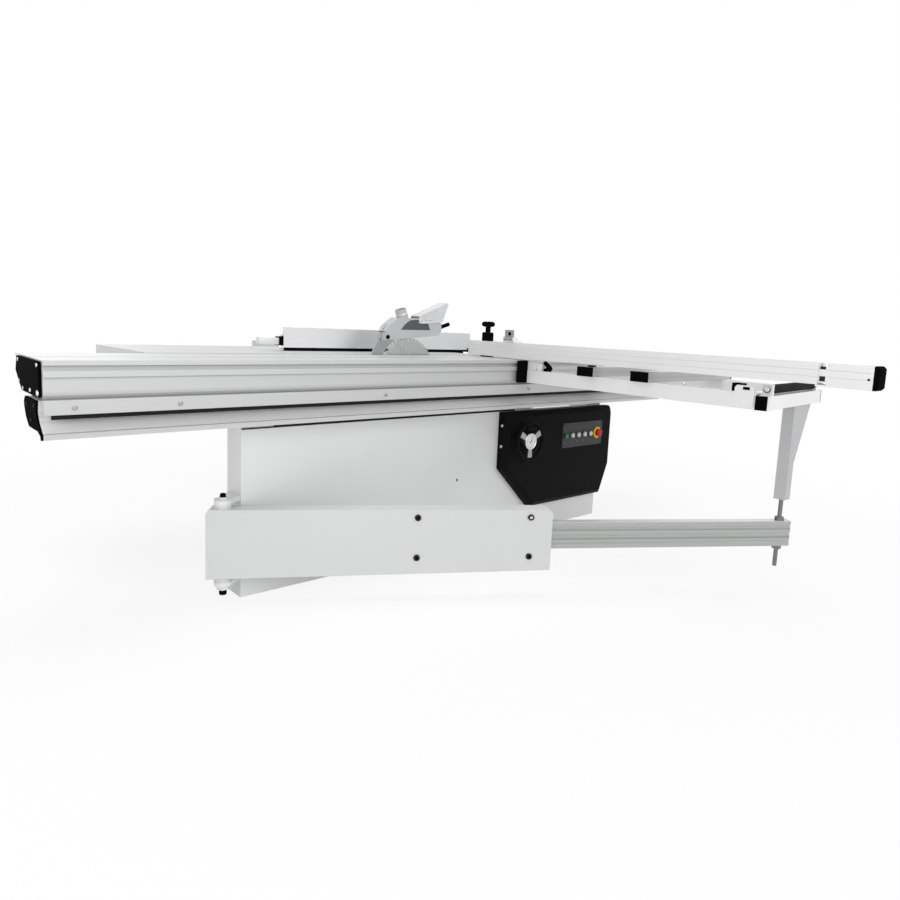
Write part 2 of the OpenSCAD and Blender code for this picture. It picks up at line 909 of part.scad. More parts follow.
// Outline of the carriage, with Y from its near face and Z from its lower edge.
module carriage_outline() {
    far = carriage_w;
    top = carriage_h;
    polygon([
        [0, top], [far, top], [far - lip_bevel, top - lip_t], [far - lip_w, top - lip_t],
        [far - bulge_in, top - bulge_drop], [far - waist_in, top - waist_drop], [far - body_in, top - body_h],
        [skirt_t, top - body_h], [skirt_t, 0], [0, 0], [0, flange_h], [web_in + cove_in, flange_h],
        [web_in, flange_h + flange_slope],
        [web_in, top - rim_h - groove_h - web_rib], [0, top - rim_h - groove_h - web_rib],
        [0, top - rim_h - groove_h], [groove_in, top - rim_h - groove_h],
        [groove_in, top - rim_h], [0, top - rim_h]
    ]);
}

// T slot in the carriage's top.
module carriage_slot() {
    translate([slot_y, carriage_h]) {
        span([-slot_mouth / 2, -slot_lip - 1], [slot_mouth / 2, 1]);
        span([-slot_head / 2, -slot_lip - slot_head_h], [slot_head / 2, -slot_lip]);
    }
}

// Hollow chambers of the carriage on both sides of the slot.
module carriage_chambers() {
    top = carriage_h;
    low = top - body_h + wall;
    slot_side = slot_head / 2 + wall;
    span([groove_in + wall, low], [slot_y - slot_side, top - wall]);
    span([slot_y - slot_head / 2, low], [slot_y + slot_head / 2, top - slot_lip - slot_head_h - wall]);
    polygon([
        [slot_y + slot_side, low], [carriage_w - body_in - 4, low],
        [carriage_w - waist_in - wall, top - waist_drop + wall],
        [carriage_w - bulge_in - 2 * wall, top - bulge_drop + 4],
        [carriage_w - lip_w - 2 * wall, top - 2 * lip_t],
        [slot_y + slot_side, top - 2 * lip_t]
    ]);
}

module carriage() {
    color(bare_alu) translate([car_x, car_y, car_z]) along_x(carriage_len) difference() {
        carriage_outline();
        carriage_slot();
        carriage_chambers();
    }
}

// Plastic caps on the carriage's ends.
module carriage_caps() {
    top = carriage_h - cap_top;
    far = carriage_w;
    inset = 1;
    color(black_plastic) for (x = [car_x - cap_t, car_x + carriage_len])
        translate([x, car_y, car_z]) along_x(cap_t) polygon([
            [cap_in, top], [far - 70, top], [far - bulge_in - inset, carriage_h - bulge_drop],
            [far - waist_in - inset, carriage_h - waist_drop + inset],
            [far - body_in - inset, carriage_h - body_h + inset], [cap_in, carriage_h - body_h + inset]
        ]);
}

// Roller cage between carriage and beam: a strip with two rows of rollers.
module roller_cage() {
    pitch = 100;
    strip_t = 5;
    row_l = 38;
    mid_x = car_x + (carriage_len + beam_len) / 4;
    inset = 20;
    count = floor(cage_len / pitch);
    axis_z = beam_top + pass_gap + roller_d / 2;
    color("gold") translate([mid_x - cage_len / 2, car_y, axis_z]) {
        block([0, beam_y0 + inset, -strip_t / 2], [cage_len, beam_y1 - inset, strip_t / 2]);
        for (i = [0:count - 1], y = [beam_y0 + inset + 4, beam_y1 - inset - 4 - row_l])
            translate([pitch * (i + 0.5), y, 0]) bar_y(roller_d, row_l);
    }
}

// Clamp pads between carriage and crosscut frame, and the pivot on which the crosscut fence turns.
module frame_mounts() {
    pad_over = 52;
    pad_top = 2;
    disc_d = 60;
    pin_up = 5;
    color(black_plastic) {
        for (s = [0, 1]) translate([frame_x + frame_len / 2, frame_y, frame_z]) mirror([s, 0, 0])
            translate([-frame_len / 2, 0, 0]) along_y(pad_t) polygon([
                [-pad_over, 0], [tube_w, 0], [tube_w, tube_h], [1, tube_h],
                [1, table_h - pad_top - frame_z], [-pad_over, table_h - pad_top - frame_z]
            ]);
        translate([fence_mid, fence_pivot_y, table_h]) {
            cylinder(d = disc_d, h = fence_z - pass_gap - table_h);
            cylinder(d = fence_pin_d, h = fence_z + pin_up - table_h);
        }
    }
}

// Rectangular tube outline.
module tube_outline(w, h) {
    difference() {
        square([w, h]);
        translate([tube_wall, tube_wall]) square([w - 2 * tube_wall, h - 2 * tube_wall]);
    }
}

// Places children along the slanted outer beam: X along it, Y = 0 at its inner face.
module on_outer() {
    translate([frame_x, frame_end, 0]) rotate([0, 0, frame_skew]) children();
}

// Welded frame: two side beams, a cross beam over the post and the slanted outer beam.
module frame_beams() {
    front_end = frame_end + (frame_len - tube_w) * tan(frame_skew);
    color(white_paint) {
        translate([frame_x, frame_end, frame_z]) along_y(frame_reach) tube_outline(tube_w, tube_h);
        translate([frame_x1 - tube_w, front_end, frame_z])
            along_y(frame_y - front_end) tube_outline(tube_w, tube_h);
        on_outer() translate([0, -outer_w, frame_z]) along_x(outer_len) tube_outline(outer_w, outer_h);
        translate([frame_x + tube_w, post_y - cross_w / 2, frame_z])
            along_x(frame_len - 2 * tube_w) tube_outline(cross_w, outer_h);
    }
}

// Outline of a support bar with grooves along its sides.
module bar_outline() {
    groove = 3;
    difference() {
        square([bar_w, bar_h]);
        translate([tube_wall + groove, tube_wall])
            square([bar_w - 2 * (tube_wall + groove), bar_h - 2 * tube_wall]);
        for (y = [0, bar_w - groove]) translate([y, bar_h / 2 - groove]) square([groove, 2 * groove]);
    }
}

module support_bars() {
    color(bare_alu) for (y = bar_ys)
        translate([bar_x0, y - bar_w / 2, frame_top]) along_x(bar_len) bar_outline();
}

// Plastic caps on the support bars and on the outer beam.
module frame_caps() {
    color(black_plastic) {
        for (y = bar_ys, x = [bar_x0 - bar_cap_t, bar_x0 + bar_len])
            block([x, y - bar_w / 2, frame_top], [x + bar_cap_t, y + bar_w / 2, frame_top + bar_h]);
        on_outer() for (x = [-end_cap_t, outer_len])
            block([x, -outer_w, frame_z], [x + end_cap_t, 0, outer_top]);
    }
}

// Post that hangs from the frame: square tube, top plate and a folded brace towards the front beam.
module support_post() {
    plate_past = 20;
    brace_w = 103;
    brace_h = 230;
    sheet = 5;
    inset = sheet * norm([brace_w, brace_h]);
    top = frame_z - post_plate_t;
    color(bare_alu) translate([post_x, post_y, 0]) {
        difference() {
            block([-post_w / 2, -post_w / 2, post_z], [post_w / 2, post_w / 2, frame_z]);
            block([-post_w / 2 + tube_wall, -post_w / 2 + tube_wall, post_z + tube_wall],
                [post_w / 2 - tube_wall, post_w / 2 - tube_wall, frame_z - tube_wall]);
        }
        block([-post_w / 2 - plate_past, -post_w / 2, top], [post_w / 2 + brace_w, post_w / 2, frame_z]);
        translate([post_w / 2, 0, top]) difference() {
            translate([0, -post_w / 2, 0]) along_y(post_w)
                polygon([[-1, 0], [brace_w, 0], [0, -brace_h], [-1, -brace_h]]);
            translate([0, sheet - post_w / 2, 0]) along_y(post_w - 2 * sheet)
                polygon([[0, 0], [brace_w - inset / brace_h, 0], [0, inset / brace_w - brace_h]]);
        }
    }
}

// Corner plate on the side beam, webs behind the clamp pads and the two brackets of the edge roller.
module frame_brackets() {
    plate_w = 68;
    plate_h = 74;
    corner = 8;
    low = 5;
    web_set = 4;
    web_w = 57;
    web_h = 36;
    web_slant = 12;
    inset = 2;
    over = 18;
    color(white_paint) {
        translate([frame_x - end_cap_t, frame_end + low, frame_z + low]) along_x(end_cap_t) polygon([
            [corner, 0], [plate_w - corner, 0], [plate_w, corner], [plate_w, plate_h - corner],
            [plate_w - corner, plate_h], [corner, plate_h], [0, plate_h - corner], [0, corner]
        ]);
        for (x = [frame_x + web_set, frame_x1 - web_set - bracket_t])
            translate([x, frame_y - web_w, frame_top]) along_x(bracket_t)
                polygon([[web_slant, 0], [web_w, 0], [web_w, web_h], [0, web_h]]);
        on_outer() difference() {
            for (x = [roller_in, frame_len - roller_in - roller_bracket_t])
                block([x, inset - outer_w, outer_top], [x + roller_bracket_t, -inset, roller_z + over]);
            translate([0, -outer_w / 2, roller_z]) bar_x(roller_axle_d + 2 * run_fit, frame_len);
        }
    }
}

// Edge roller with its axle and end nuts.
module edge_roller() {
    nut_l = 10;
    color(black_plastic) on_outer() translate([0, -outer_w / 2, roller_z]) {
        translate([roller_in + roller_bracket_t + pass_gap, 0, 0]) bar_x(edge_roller_d, roller_len);
        translate([roller_in - pass_gap - nut_l, 0, 0])
            bar_x(roller_axle_d, frame_len - 2 * (roller_in - pass_gap - nut_l));
        for (x = [roller_in - pass_gap - nut_l, frame_len - roller_in + pass_gap])
            translate([x, 0, 0]) bar_x(roller_axle_d + 8, nut_l);
    }
}

// Clamp knob with a cross bar on the side beam.
module table_knob() {
    base_d = 34;
    base_h = 14;
    grip_d = 18;
    grip_up = 30;
    color(black_plastic) translate([frame_x + tube_w / 2, knob_y, frame_top + pass_gap]) {
        cylinder(d = base_d, h = base_h);
        cylinder(d = grip_d - 4, h = grip_up);
        translate([0, 0, grip_up]) round_bar(grip_d, knob_bar_l);
    }
}

// Outline of the crosscut fence with its shadow lines.
module fence_outline() {
    line = 2;
    difference() {
        square([fence_t, fence_h]);
        for (z = [0.34, 0.66] * fence_h, x = [0, fence_t - line]) translate([x, z]) square(line);
        translate([fence_t / 2, fence_h]) {
            span([-fence_mouth / 2, -fence_slot - 1], [fence_mouth / 2, 1]);
            span([-fence_mouth, -2 * fence_slot - 2], [fence_mouth, -fence_slot]);
        }
    }
}

// Hollow core of the crosscut fence, drawn in by a gap for the bar that slides in it.
module fence_core(gap) {
    low = fence_wall + gap;
    span([low, low], [fence_t - low, fence_h - 2 * fence_slot - 2 - low]);
}

// Main crosscut fence with the carrier of the flip stop on its top.
module crosscut_fence() {
    ear_t = 6;
    ear_h = 25;
    base_h = 8;
    color(bare_alu) {
        difference() {
            translate([fence_x, fence_y0, fence_z]) along_y(fence_len) fence_outline();
            translate([fence_x, fence_y0 - 1, fence_z]) along_y(fence_len - fence_wall) fence_core(0);
            translate([fence_mid, fence_pivot_y, fence_z - 1])
                cylinder(d = fence_pin_d + 2 * run_fit, h = fence_wall + 2);
        }
        block([fence_x + ear_t, stop_y - stop_w / 2, fence_top],
            [fence_x + fence_t - ear_t, stop_y + stop_w / 2, fence_top + base_h]);
        for (y = [stop_y - stop_w / 2, stop_y + stop_w / 2 - ear_t])
            translate([fence_x, y, fence_top]) along_y(ear_t)
                polygon([[-14, 4], [-14, ear_h], [4, ear_h], [24, base_h], [24, 0], [0, 0]]);
        translate([flip_x, stop_y - stop_w / 2, flip_z]) bar_y(flip_pin_d, stop_w);
    }
}

// Finger of the flip stop, standing up; it swings down in front of the fence's face.
module flip_stop() {
    ear_t = 6;
    finger_t = 6;
    finger_l = 40;
    width = stop_w - 2 * (ear_t + pass_gap);
    y0 = stop_y - width / 2;
    color(bare_alu) translate([flip_x, y0, flip_z]) difference() {
        union() {
            bar_y(flip_pin_d + 6, width);
            along_y(width) polygon([
                [-finger_t / 2, 0], [finger_t / 2, 0], [finger_t / 2, finger_l - 4], [finger_t / 6, finger_l],
                [-finger_t / 2, finger_l]
            ]);
        }
        translate([0, -1, 0]) bar_y(flip_pin_d + 2 * run_fit, width + 2);
    }
}

// Clamp block over the fence's pivot, bored for the handle's stem.
module fence_clamp() {
    half_w = 15;
    bevel = 6;
    color(black_plastic) difference() {
        translate([fence_mid, fence_pivot_y - clamp_l / 2, fence_top]) along_y(clamp_l) polygon([
            [-half_w, 0], [half_w, 0], [half_w, clamp_h - bevel], [half_w - bevel, clamp_h],
            [bevel - half_w, clamp_h], [-half_w, clamp_h - bevel]
        ]);
        translate([fence_mid, fence_pivot_y, fence_top + clamp_h - stem_in])
            cylinder(d = stem_d + 2 * run_fit, h = stem_in + 1);
    }
}

// T handle of the fence clamp.
module fence_handle() {
    stem_l = 29;
    grip_d = 20;
    grip_l = 38;
    collar_d = 24;
    color(black_plastic) translate([fence_mid, fence_pivot_y, fence_top + clamp_h]) {
        translate([0, 0, 1 - stem_in]) cylinder(d = stem_d, h = stem_l + stem_in);
        translate([0, 0, pass_gap]) cylinder(d = collar_d, h = stem_l);
        translate([0, 0, stem_l + grip_d / 2]) round_bar(grip_d, grip_l);
    }
}

// Telescoping piece of the fence: outer section, bar that runs in the main fence, and lower lip.
module fence_extension() {
    lip_past = 32;
    color(bare_alu) {
        difference() {
            translate([fence_x, ext_y0, fence_z]) along_y(extension_len) fence_outline();
            translate([fence_x, ext_y0 - 1, fence_z]) along_y(extension_len / 2) fence_core(0);
        }
        translate([fence_x, ext_y1 - fence_wall, fence_z])
            along_y(ext_core_in + ext_gap) fence_core(pass_gap);
        block([fence_x, ext_y0, table_h], [fence_x + fence_t, ext_y1 + lip_past, fence_z - pass_gap]);
        block([fence_x, ext_y0, table_h], [fence_x + fence_t, ext_y1, fence_z]);
    }
}

// End cap of the extension with a slanted nose.
module fence_cap() {
    nose = 8;
    color(black_plastic) translate([fence_x, ext_y0, table_h]) along_x(fence_t) polygon([
        [0, 0], [0, fence_z - table_h + fence_h], [nose - ext_cap_t, fence_z - table_h + fence_h],
        [-ext_cap_t, fence_z - table_h + fence_h - nose], [-ext_cap_t, nose], [nose - ext_cap_t, 0]
    ]);
}

// Places children in the swing arm's own directions: X along the arm from its pivot.
module in_arm() {
    translate([arm_px, arm_py, 0]) rotate([0, 0, -arm_angle]) children();
}

// Outer swing arm: box section with bevelled corners, pivot tube and bolt holes of the guide rollers.
module swing_arm() {
    bevel = 14;
    tube_d = arm_t - 2 * arm_wall + 1;
    boss_d = 58;
    color(white_paint) in_arm() difference() {
        union() {
            difference() {
                translate([0, -arm_t / 2, arm_z]) along_y(arm_t) polygon([
                    [-arm_tail, 0], [arm_len, arm_rise], [arm_len, arm_h - bevel], [arm_len - bevel, arm_h],
                    [bevel - arm_tail, arm_h], [-arm_tail, arm_h - bevel]
                ]);
                translate([0, arm_wall - arm_t / 2, arm_z]) along_y(arm_t - 2 * arm_wall) polygon([
                    [arm_wall - arm_tail, arm_wall], [arm_len + 1, arm_wall + arm_rise],
                    [arm_len + 1, arm_h - bevel - arm_wall], [arm_len - bevel, arm_h - arm_wall],
                    [bevel - arm_tail, arm_h - arm_wall], [arm_wall - arm_tail, arm_h - bevel - arm_wall]
                ]);
            }
            translate([0, 0, arm_z]) cylinder(d = tube_d, h = arm_h);
            for (z = [arm_z - arm_boss_h, arm_top]) translate([0, 0, z]) cylinder(d = boss_d, h = arm_boss_h);
        }
        translate([0, 0, arm_z - arm_boss_h - 1])
            cylinder(d = pivot_d + 2 * run_fit, h = arm_h + 2 * arm_boss_h + 2);
        for (s = guide_ss, z = guide_zs)
            translate([s, -arm_t / 2 - 1, z]) bar_y(guide_bolt_d, arm_t + 2);
    }
}

// Guide rollers above and below the inner arm, on bolts through the outer arm's walls.
module guide_rollers() {
    head_h = 5;
    head_d = 22;
    roller_l = arm_t - 2 * arm_wall - 1;
    color(black_plastic) in_arm() for (s = guide_ss, z = guide_zs) translate([s, 0, z]) {
        translate([0, -roller_l / 2, 0]) bar_y(guide_roller_d, roller_l);
        translate([0, -arm_t / 2, 0]) bar_y(guide_bolt_d, arm_t);
        for (y = [-arm_t / 2 - head_h, arm_t / 2]) translate([0, y, 0]) bar_y(head_d, head_h);
    }
}

// Outline of the inner arm: two chambers, three grooves on each side.
module inner_outline() {
    web = inner_h / 2;
    groove_w = 8;
    depth = 3;
    difference() {
        translate([-inner_t / 2, 0]) square([inner_t, inner_h]);
        for (z = [arm_wall, web + arm_wall / 2])
            translate([-inner_t / 2 + depth + arm_wall, z])
                square([inner_t - 2 * (depth + arm_wall), web - 1.5 * arm_wall]);
        for (k = [0.2, 0.5, 0.8], y = [-inner_t / 2, inner_t / 2 - depth])
            translate([y, k * inner_h - groove_w / 2]) square([depth, groove_w]);
    }
}

// Inner arm that telescopes out of the outer one, bored for the support rod.
module inner_arm() {
    color(bare_alu) in_arm() difference() {
        translate([inner_start, 0, inner_z])
            along_x(rod_reach + inner_past - inner_start) inner_outline();
        translate([rod_reach, 0, inner_z - 1]) cylinder(d = rod_d + 2 * pass_gap, h = inner_h + 2);
    }
}

// Threaded rod with lock nuts above and below the inner arm; its top stands just under the post.
module support_rod() {
    low = inner_z - rod_low;
    color(grey_steel) translate([post_x, post_y, 0]) {
        translate([0, 0, low]) cylinder(d = rod_d, h = post_z - pass_gap - low);
        for (z = [inner_z - nut_h, inner_z + inner_h])
            translate([0, 0, z]) cylinder(d = nut_w / cos(30), h = nut_h, $fn = 6);
    }
}

// Tilting cradle: end plates with curved shoes, lift columns, foot bar and the scoring bearing.
module saw_cradle() {
    stub_in = 25;
    half_y = 20;
    bearing_d = scoring_shaft + 2 * scoring_wall;
    arm_half = 14;
    color(grey_steel) {
        for (s = [0, 1]) mirror([s, 0, 0]) {
            translate([cradle_x, 0, table_h]) {
                along_x(cradle_t) polygon([
                    [14, 4 - table_rim], [lift_y + 30, 4 - table_rim], [200, -190], [200, -260], [150, -290],
                    [14, -305]
                ]);
                translate([cradle_t, 0, 0]) along_x(shoe_t)
                    arc_band(rail_in + pass_gap, rail_out - pass_gap, shoe_a0, shoe_a1);
            }
            block([lift_x - stub_in, lift_y - half_y, stub_z], [cradle_x, lift_y + half_y, stub_z + stub_h]);
            translate([lift_x, lift_y, foot_bar_z])
                cylinder(d = column_rod, h = stub_z + stub_h / 2 - foot_bar_z);
        }
        block([-cradle_x, lift_y - half_y, foot_bar_z], [cradle_x, lift_y + half_y, foot_bar_z + stub_h]);
        difference() {
            union() {
                translate([scoring_x, housing_y0, scoring_z]) bar_y(bearing_d, scoring_y1 - housing_y0);
                block([scoring_x, housing_y0 + 2, scoring_z - arm_half],
                    [cradle_x, scoring_y1 - 2, scoring_z + arm_half]);
            }
            translate([scoring_x, housing_y0 - 1, scoring_z])
                bar_y(scoring_shaft + 2 * run_fit, scoring_y1 - housing_y0 + 2);
        }
    }
}

// Lift slide: bored for its columns, with the arbor housing, the motor bracket and the knife holder.
module lift_slide() {
    housing_dia = spindle_d + 2 * spindle_wall;
    plate_x0 = motor_x - motor_d / 2 - 12;
    arm_x0 = lift_x - 50;
    arm_x1 = lift_x + 20;
    hole_d = 50;
    color(grey_steel) difference() {
        union() {
            block([-slide_half, slide_y0, slide_bot], [slide_half, slide_y1, slide_top]);
            translate([0, housing_y0, arbor_z]) bar_y(housing_dia, housing_y1 - housing_y0);
            block([-housing_dia / 2, slide_y0, slide_bot], [housing_dia / 2, slide_y1, arbor_z]);
            block([arm_x0, slide_y1, slide_bot], [arm_x1, bracket_y + plate_t, slide_top]);
            block([plate_x0, bracket_y, motor_z - motor_d / 2], [arm_x1, bracket_y + plate_t, slide_top]);
            block([-knife_hold_x - 65, knife_t / 2, slide_bot + 10],
                [-knife_hold_x, slide_y0, slide_top - 5]);
        }
        for (x = [-lift_x, lift_x])
            translate([x, lift_y, slide_bot - 1]) cylinder(d = column_rod + 2 * run_fit, h = slide_h + 2);
        translate([0, housing_y0 - 1, arbor_z])
            bar_y(spindle_d + 2 * run_fit, housing_y1 - housing_y0 + 2);
        translate([motor_x, bracket_y - 1, motor_z]) bar_y(hole_d, plate_t + 2);
    }
}

// Motor with front flange, cooling fins, fan cowl and terminal box, bored for its shaft.
module motor() {
    flange_w = 12;
    cowl_l = 46;
    fin_n = 12;
    fin_h = 8;
    r = motor_d / 2;
    pitch = (motor_len - flange_w - cowl_l) / fin_n;
    box_half = 38;
    color(black_plastic) translate([motor_x, bracket_y + plate_t, motor_z]) difference() {
        union() {
            rotate([-90, 0, 0]) rotate_extrude() polygon([
                [0, 0], [r, 0], [r, flange_w],
                for (i = [0:fin_n - 1], e = [[-fin_h, 0], [-fin_h, 0.6], [-2, 0.6], [-2, 1]])
                    [r + e.x, flange_w + (i + e.y) * pitch],
                [r, motor_len - cowl_l], [r, motor_len - 8], [r - 8, motor_len], [0, motor_len]
            ]);
            block([-box_half, flange_w + 20, r - 2 * fin_h],
                [box_half, flange_w + 20 + 2 * box_half, r + 20]);
        }
        translate([0, -1, 0]) bar_y(motor_shaft_d + 2 * run_fit, motor_shaft_in + 1);
    }
}

// Grooved pulley along Y from the local origin.
module pulley(d) {
    ribs = 6;
    depth = 3;
    p = pulley_w / (ribs + 1);
    rotate([-90, 0, 0]) rotate_extrude() polygon([
        [0, 0], [d / 2, 0], [d / 2, p / 2],
        for (i = [0:ribs - 1], e = [[0, 0.5], [-depth, 0.8], [-depth, 1.2]]) [d / 2 + e.x, (i + e.y) * p],
        [d / 2, (ribs + 0.5) * p], [d / 2, pulley_w], [0, pulley_w]
    ]);
}

module motor_pulley() {
    color(grey_steel) translate([motor_x, pulley_y, motor_z]) {
        pulley(motor_pulley_d);
        bar_y(motor_shaft_d, bracket_y + plate_t + motor_shaft_in - 1 - pulley_y);
    }
}

// Area swept by a belt round both pulleys, widened by a margin; its straight runs are tangents.
module belt_area(margin) {
    a = [0, arbor_z];
    b = [motor_x, motor_z];
    ra = arbor_pulley_d / 2 + margin;
    rb = motor_pulley_d / 2 + margin;
    lean = atan2(b.y - a.y, b.x - a.x);
    side = acos((ra - rb) / norm(b - a));
    translate(a) circle(r = ra);
    translate(b) circle(r = rb);
    polygon([
        for (t = [lean + side, lean - side]) a + ra * [cos(t), sin(t)],
        for (t = [lean - side, lean + side]) b + rb * [cos(t), sin(t)]
    ]);
}

// Drive belt between motor and arbor.
module drive_belt() {
    inset = 3;
    color(black_plastic) translate([0, pulley_y + inset, 0]) along_y(pulley_w - 2 * inset) difference() {
        belt_area(pass_gap + belt_t);
        belt_area(pass_gap);
    }
}

// Arbor with both blade flanges and its pulley.
module arbor() {
    screw_d = 20;
    screw_h = 1;
    half = blade_t / 2;
    color(grey_steel) translate([0, 0, arbor_z]) {
        translate([0, -half - flange_t, 0]) bar_y(flange_d, flange_t);
        translate([0, -half - flange_t - screw_h, 0]) bar_y(screw_d, screw_h + 1);
        translate([0, -half - 1, 0]) bar_y(arbor_d, blade_t + 2);
        translate([0, half, 0]) bar_y(flange_d, neck_t);
        translate([0, half, 0]) bar_y(spindle_d, pulley_y + 1 - half);
        translate([0, pulley_y, 0]) pulley(arbor_pulley_d);
    }
}

// Toothed disc outline: each tooth has a radial face and a sloping back.
module toothed_disc(d, teeth, depth) {
    step = 360 / teeth;
    r = d / 2;
    polygon([
        for (i = [0:teeth - 1], e = [[-depth, -0.08], [0, 0], [-depth * 0.2, 0.3], [-depth * 0.9, 0.55]])
            (r + e.x) * [cos((i + e.y) * step), sin((i + e.y) * step)]
    ]);
}

// Main blade with four expansion slots.
module main_blade() {
    depth = 9;
    slot_w = 1.6;
    slot_l = 22;
    color(grey_steel) translate([0, -blade_t / 2, arbor_z]) along_y(blade_t) difference() {
        toothed_disc(blade_d, blade_teeth, depth);
        circle(d = arbor_d + 2 * run_fit);
        for (a = [0:90:270]) rotate(a + 270 / blade_teeth) {
            span([blade_d / 2 - depth - slot_l, -slot_w / 2], [blade_d / 2, slot_w / 2]);
            translate([blade_d / 2 - depth - slot_l, 0]) circle(d = 3 * slot_w);
        }
    }
}

// Scoring blade with its shaft and hub.
module scoring_blade() {
    hub = 46;
    hub_h = 6;
    color(grey_steel) translate([scoring_x, -scoring_t / 2, scoring_z]) {
        along_y(scoring_t) toothed_disc(scoring_d, 24, 7);
        translate([0, 1, 0]) bar_y(hub, hub_h + scoring_t - 1);
        translate([0, -2, 0]) bar_y(scoring_shaft, scoring_y1 + scoring_t / 2 + 2);
    }
}

// Riving knife behind the blade, with the bolt on which the guard hood swings.
module riving_knife() {
    r_in = blade_d / 2 + knife_gap;
    head = 4;
    half = hood_w / 2 + pass_gap;
    color(grey_steel) {
        translate([0, -knife_t / 2, 0]) along_y(knife_t) intersection() {
            translate([0, arbor_z]) difference() {
                circle(r = r_in + knife_w, $fn = 96);
                circle(r = r_in, $fn = 96);
            }
            span([-2 * blade_d, slide_bot + 10], [-knife_cut, hood_bolt_z + blade_d]);
        }
        translate([hood_bolt_x, 0, hood_bolt_z]) {
            translate([0, -half - 1, 0]) bar_y(hood_bolt_d, 2 * half + 2);
            for (y = [-half - head, half]) translate([0, y, 0]) bar_y(2 * hood_bolt_d, head);
        }
    }
}

// Convex outline drawn in by a distance, for points in counter-clockwise order.
function drawn_in(p, d) = [
    for (i = [0:len(p) - 1])
        let (
            a = p[(i + len(p) - 1) % len(p)], c = p[(i + 1) % len(p)],
            u = (p[i] - a) / norm(p[i] - a), v = (c - p[i]) / norm(c - p[i]),
            m = [-u.y, u.x], n = [-v.y, v.x]
        ) p[i] + d * (m + n) / (1 + m * n)
];

// Places children on the dust spout's axis, which leans to the rear.
module on_spout() {
    translate([spout_x, 0, table_h + hood_top]) rotate([0, -spout_tilt, 0]) children();
}

// Guard hood: thin shell open below, with the knife's slot, dust spout and the visor's pin.
module guard_hood() {
    outline = [
        [-128, 62], [-87, 66], [178, 89], [193, 110], [193, 142], [182, 150], [60, hood_top],
        [-58, hood_top], [-104, 128], [-126, 95]
    ];
    half = hood_w / 2;
    slot_half = knife_t / 2 + 1.2;
    color(bare_alu) {
        difference() {
            translate([guard_x, -half, table_h]) along_y(hood_w) polygon(outline);
            translate([guard_x, hood_t - half, table_h]) along_y(hood_w - 2 * hood_t) {
                polygon(drawn_in(outline, hood_t));
                span([hood_t - 128, 50], [174, 100]);
            }
            translate([guard_x, 0, table_h]) block([-160, -slot_half, 50], [-96, slot_half, 135]);
            translate([hood_bolt_x, -half - 1, hood_bolt_z])
                bar_y(hood_bolt_d + 2 * run_fit, hood_w + 2);
            on_spout() translate([0, 0, -2 * spout_in])
                cylinder(d = spout_d - 2 * spout_wall, h = 4 * spout_in);
        }
        on_spout() difference() {
            union() {
                translate([0, 0, -spout_in]) cylinder(d = hood_w - 2, h = spout_in + spout_foot);
                cylinder(d = spout_d, h = spout_foot + spout_len);
            }
            translate([0, 0, -2 * spout_in])
                cylinder(d = spout_d - 2 * spout_wall, h = 2 * spout_in + spout_foot + spout_len + 1);
        }
        for (s = [0, 1]) mirror([0, s, 0])
            translate([visor_x, half - hood_t / 2, visor_z])
                bar_y(visor_pin_d, hood_t / 2 + pass_gap + visor_t + 1);
    }
}

// Grip at the front of the guard hood.
module guard_lever() {
    grip_d = 18;
    length = 71;
    rise = 17;
    base_h = 6;
    color(black_plastic) translate([guard_x + 193, 0, table_h + 122]) {
        bar_x(grip_d + 8, base_h);
        rotate([0, -rise, 0]) translate([base_h, 0, 0]) bar_x(grip_d, length - base_h);
    }
}

// Front visor: two cheeks outside the hood joined by a sloping plate.
module guard_visor() {
    half = hood_w / 2 + pass_gap;
    cheek = [[58, 142], [80, 140], [196, 150], [229, 232], [222, 240], [58, 174]];
    color(bare_alu) difference() {
        translate([guard_x, 0, table_h]) {
            for (y = [-half - visor_t, half]) translate([0, y, 0]) along_y(visor_t) polygon(cheek);
            translate([0, -half - visor_t, 0]) along_y(2 * (half + visor_t))
                polygon([[229, 232], [222, 240], [58, 174], [59, 171]]);
        }
        translate([visor_x, -half - visor_t - 1, visor_z])
            bar_y(visor_pin_d + 2 * run_fit, 2 * (half + visor_t) + 2);
    }
}

// Outline of the rip fence: chambers inside, shadow lines in front, a T slot at the back.
module rip_outline() {
    line = 2;
    mouth = 8;
    side = 5;
    mid = rip_h / 2;
    difference() {
        square([rip_t, rip_h]);
        for (z = [0.3, 0.7] * rip_h) translate([0, z]) square(line);
        for (z = [side, mid + 2 * mouth]) translate([side, z])
            square([rip_t - 2 * side, mid - 2 * mouth - side]);
        span([rip_t - side, mid - mouth / 2], [rip_t + 1, mid + mouth / 2]);
        span([rip_t - 2 * side - 2, mid - mouth], [rip_t - side, mid + mouth]);
    }
}

module rip_fence() {
    color(bare_alu) translate([rip_x0, rip_y, rip_z]) along_x(rip_len) rip_outline();
}

// End stop and glide strip of the rip fence.
module rip_trim() {
    cap_l = 18;
    low = 18;
    high = 55;
    strip = guide_x - 40;
    inset = 2;
    color(black_plastic) {
        block([rip_x0 - cap_l, rip_y, rip_z + low], [rip_x0, rip_y + rip_t, rip_z + high]);
        block([rip_x0 + cap_l, rip_y + inset, table_h + rip_glide], [strip, rip_y + rip_t - inset, rip_z]);
    }
}

